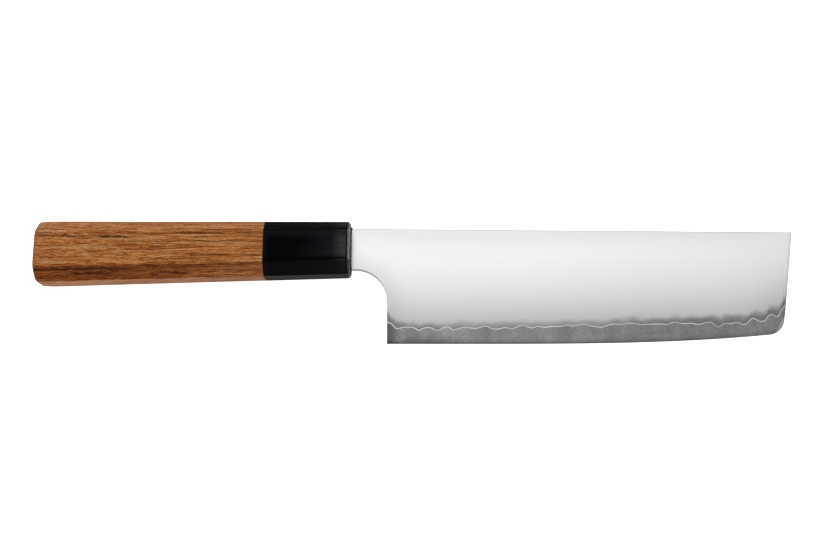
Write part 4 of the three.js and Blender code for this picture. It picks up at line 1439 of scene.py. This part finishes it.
def assemble():
    core = core_steel()
    note_distances(core)
    dress(core, core_finish(), "core_steel")
    satin, bright = cladding_finish(), bond_finish()
    for side, sign in (("right", 1), ("left", -1)):
        plate = cladding(side, sign)
        note_distances(plate)
        dress(plate, satin, f"{side}_cladding")
        dress(bond_layer(side, sign), bright, f"{side}_bond_layer")
    dress(wooden_grip(), grip_finish(), "handle")
    dress(black_ferrule(), ferrule_finish(), "ferrule")
    dress(mouth_seal(), seal_finish(), "mouth_seal")
    for node, finish in (("dowel", dowel_finish()), ("tang_resin", resin_finish())):
        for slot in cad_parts[node].material_slots:
            slot.material = finish


assemble()


# Studio, in metres: a pale floor, soft light from above and behind, and the camera of the photograph

FLOOR_SIZE = 8.0
FLOOR_CLOUDS = 3.0
FLOOR_GREYS = [(0.3, 0.93), (0.7, 0.96)]
FLOOR_ROUGHNESS = 0.9
FLOOR_GLOW = 0.5  # a light table, so that the knife throws hardly any shadow
FLOOR_GLARE = 0.6  # what the eye sees of it besides
SKY_GREYS = [(0.0, 0.26), (0.2, 0.3), (0.5, 0.68), (0.62, 0.86), (0.75, 0.72), (1.0, 0.4)]  # front to behind
LIGHT_PLACE = Vector((0.0, 0.35, 1.3))
LIGHT_SIZE = (1.6, 1.0)
LIGHT_WATTS = 3.7
CAMERA_LENS = 50.0  # millimetres
CAMERA_SENSOR = 36.0
CAMERA_ELEVATION = 77.5
CAMERA_TARGET = Vector((0.0, 0.0025, 0.01028))
CAMERA_DISTANCE = 0.4686


def pale_floor():
    deselect()
    bpy.ops.mesh.primitive_plane_add(size=FLOOR_SIZE, location=(0.0, 0.0, cad_box[0].z))
    floor = bpy.context.object
    floor.name = "floor"
    material, tree, shader, where = new_finish("pale_floor")
    tree.links.new(ramp(tree, noise(tree, where, FLOOR_CLOUDS), greys(FLOOR_GREYS)), shader["Base Color"])
    shader["Roughness"].default_value = FLOOR_ROUGHNESS
    shader["Specular IOR Level"].default_value = 0.0
    shader["Emission Strength"].default_value = 1.0
    seen = tree.nodes.new("ShaderNodeLightPath").outputs["Is Camera Ray"]
    tree.links.new(blended(tree, FLOOR_GLOW, (seen, FLOOR_GLARE)), shader["Emission Color"])
    floor.data.materials.append(material)


def studio_world():
    world = bpy.data.worlds.new("studio")
    bpy.context.scene.world = world
    world.use_nodes = True
    tree = world.node_tree
    direction = tree.nodes.new("ShaderNodeTexCoord").outputs["Generated"]
    behind = blended(tree, 0.5, (axes_of(tree, direction)["Y"], 0.5))
    tree.links.new(ramp(tree, behind, greys(SKY_GREYS)), tree.nodes["Background"].inputs["Color"])


def set_up(name, data, place, aim):
    """Sets a lamp or a camera in its place, pointing along a direction."""
    holder = bpy.data.objects.new(name, data)
    bpy.context.scene.collection.objects.link(holder)
    holder.location = place
    holder.rotation_mode = "QUATERNION"
    holder.rotation_quaternion = aim.to_track_quat("-Z", "Y")
    return holder


def soft_light():
    lamp = bpy.data.lights.new("overhead", "AREA")
    lamp.shape = "RECTANGLE"
    lamp.size, lamp.size_y = LIGHT_SIZE
    lamp.energy = LIGHT_WATTS
    set_up("overhead", lamp, LIGHT_PLACE, -LIGHT_PLACE)


def photo_camera():
    eye = bpy.data.cameras.new("photo_camera")
    eye.lens = CAMERA_LENS
    eye.sensor_width = CAMERA_SENSOR
    lift = math.radians(CAMERA_ELEVATION)
    back = Vector((0.0, -math.cos(lift), math.sin(lift)))
    bpy.context.scene.camera = set_up("photo_camera", eye, CAMERA_TARGET + back * CAMERA_DISTANCE, -back)


pale_floor()
studio_world()
soft_light()
photo_camera()
bpy.context.scene.view_settings.view_transform = "Standard"
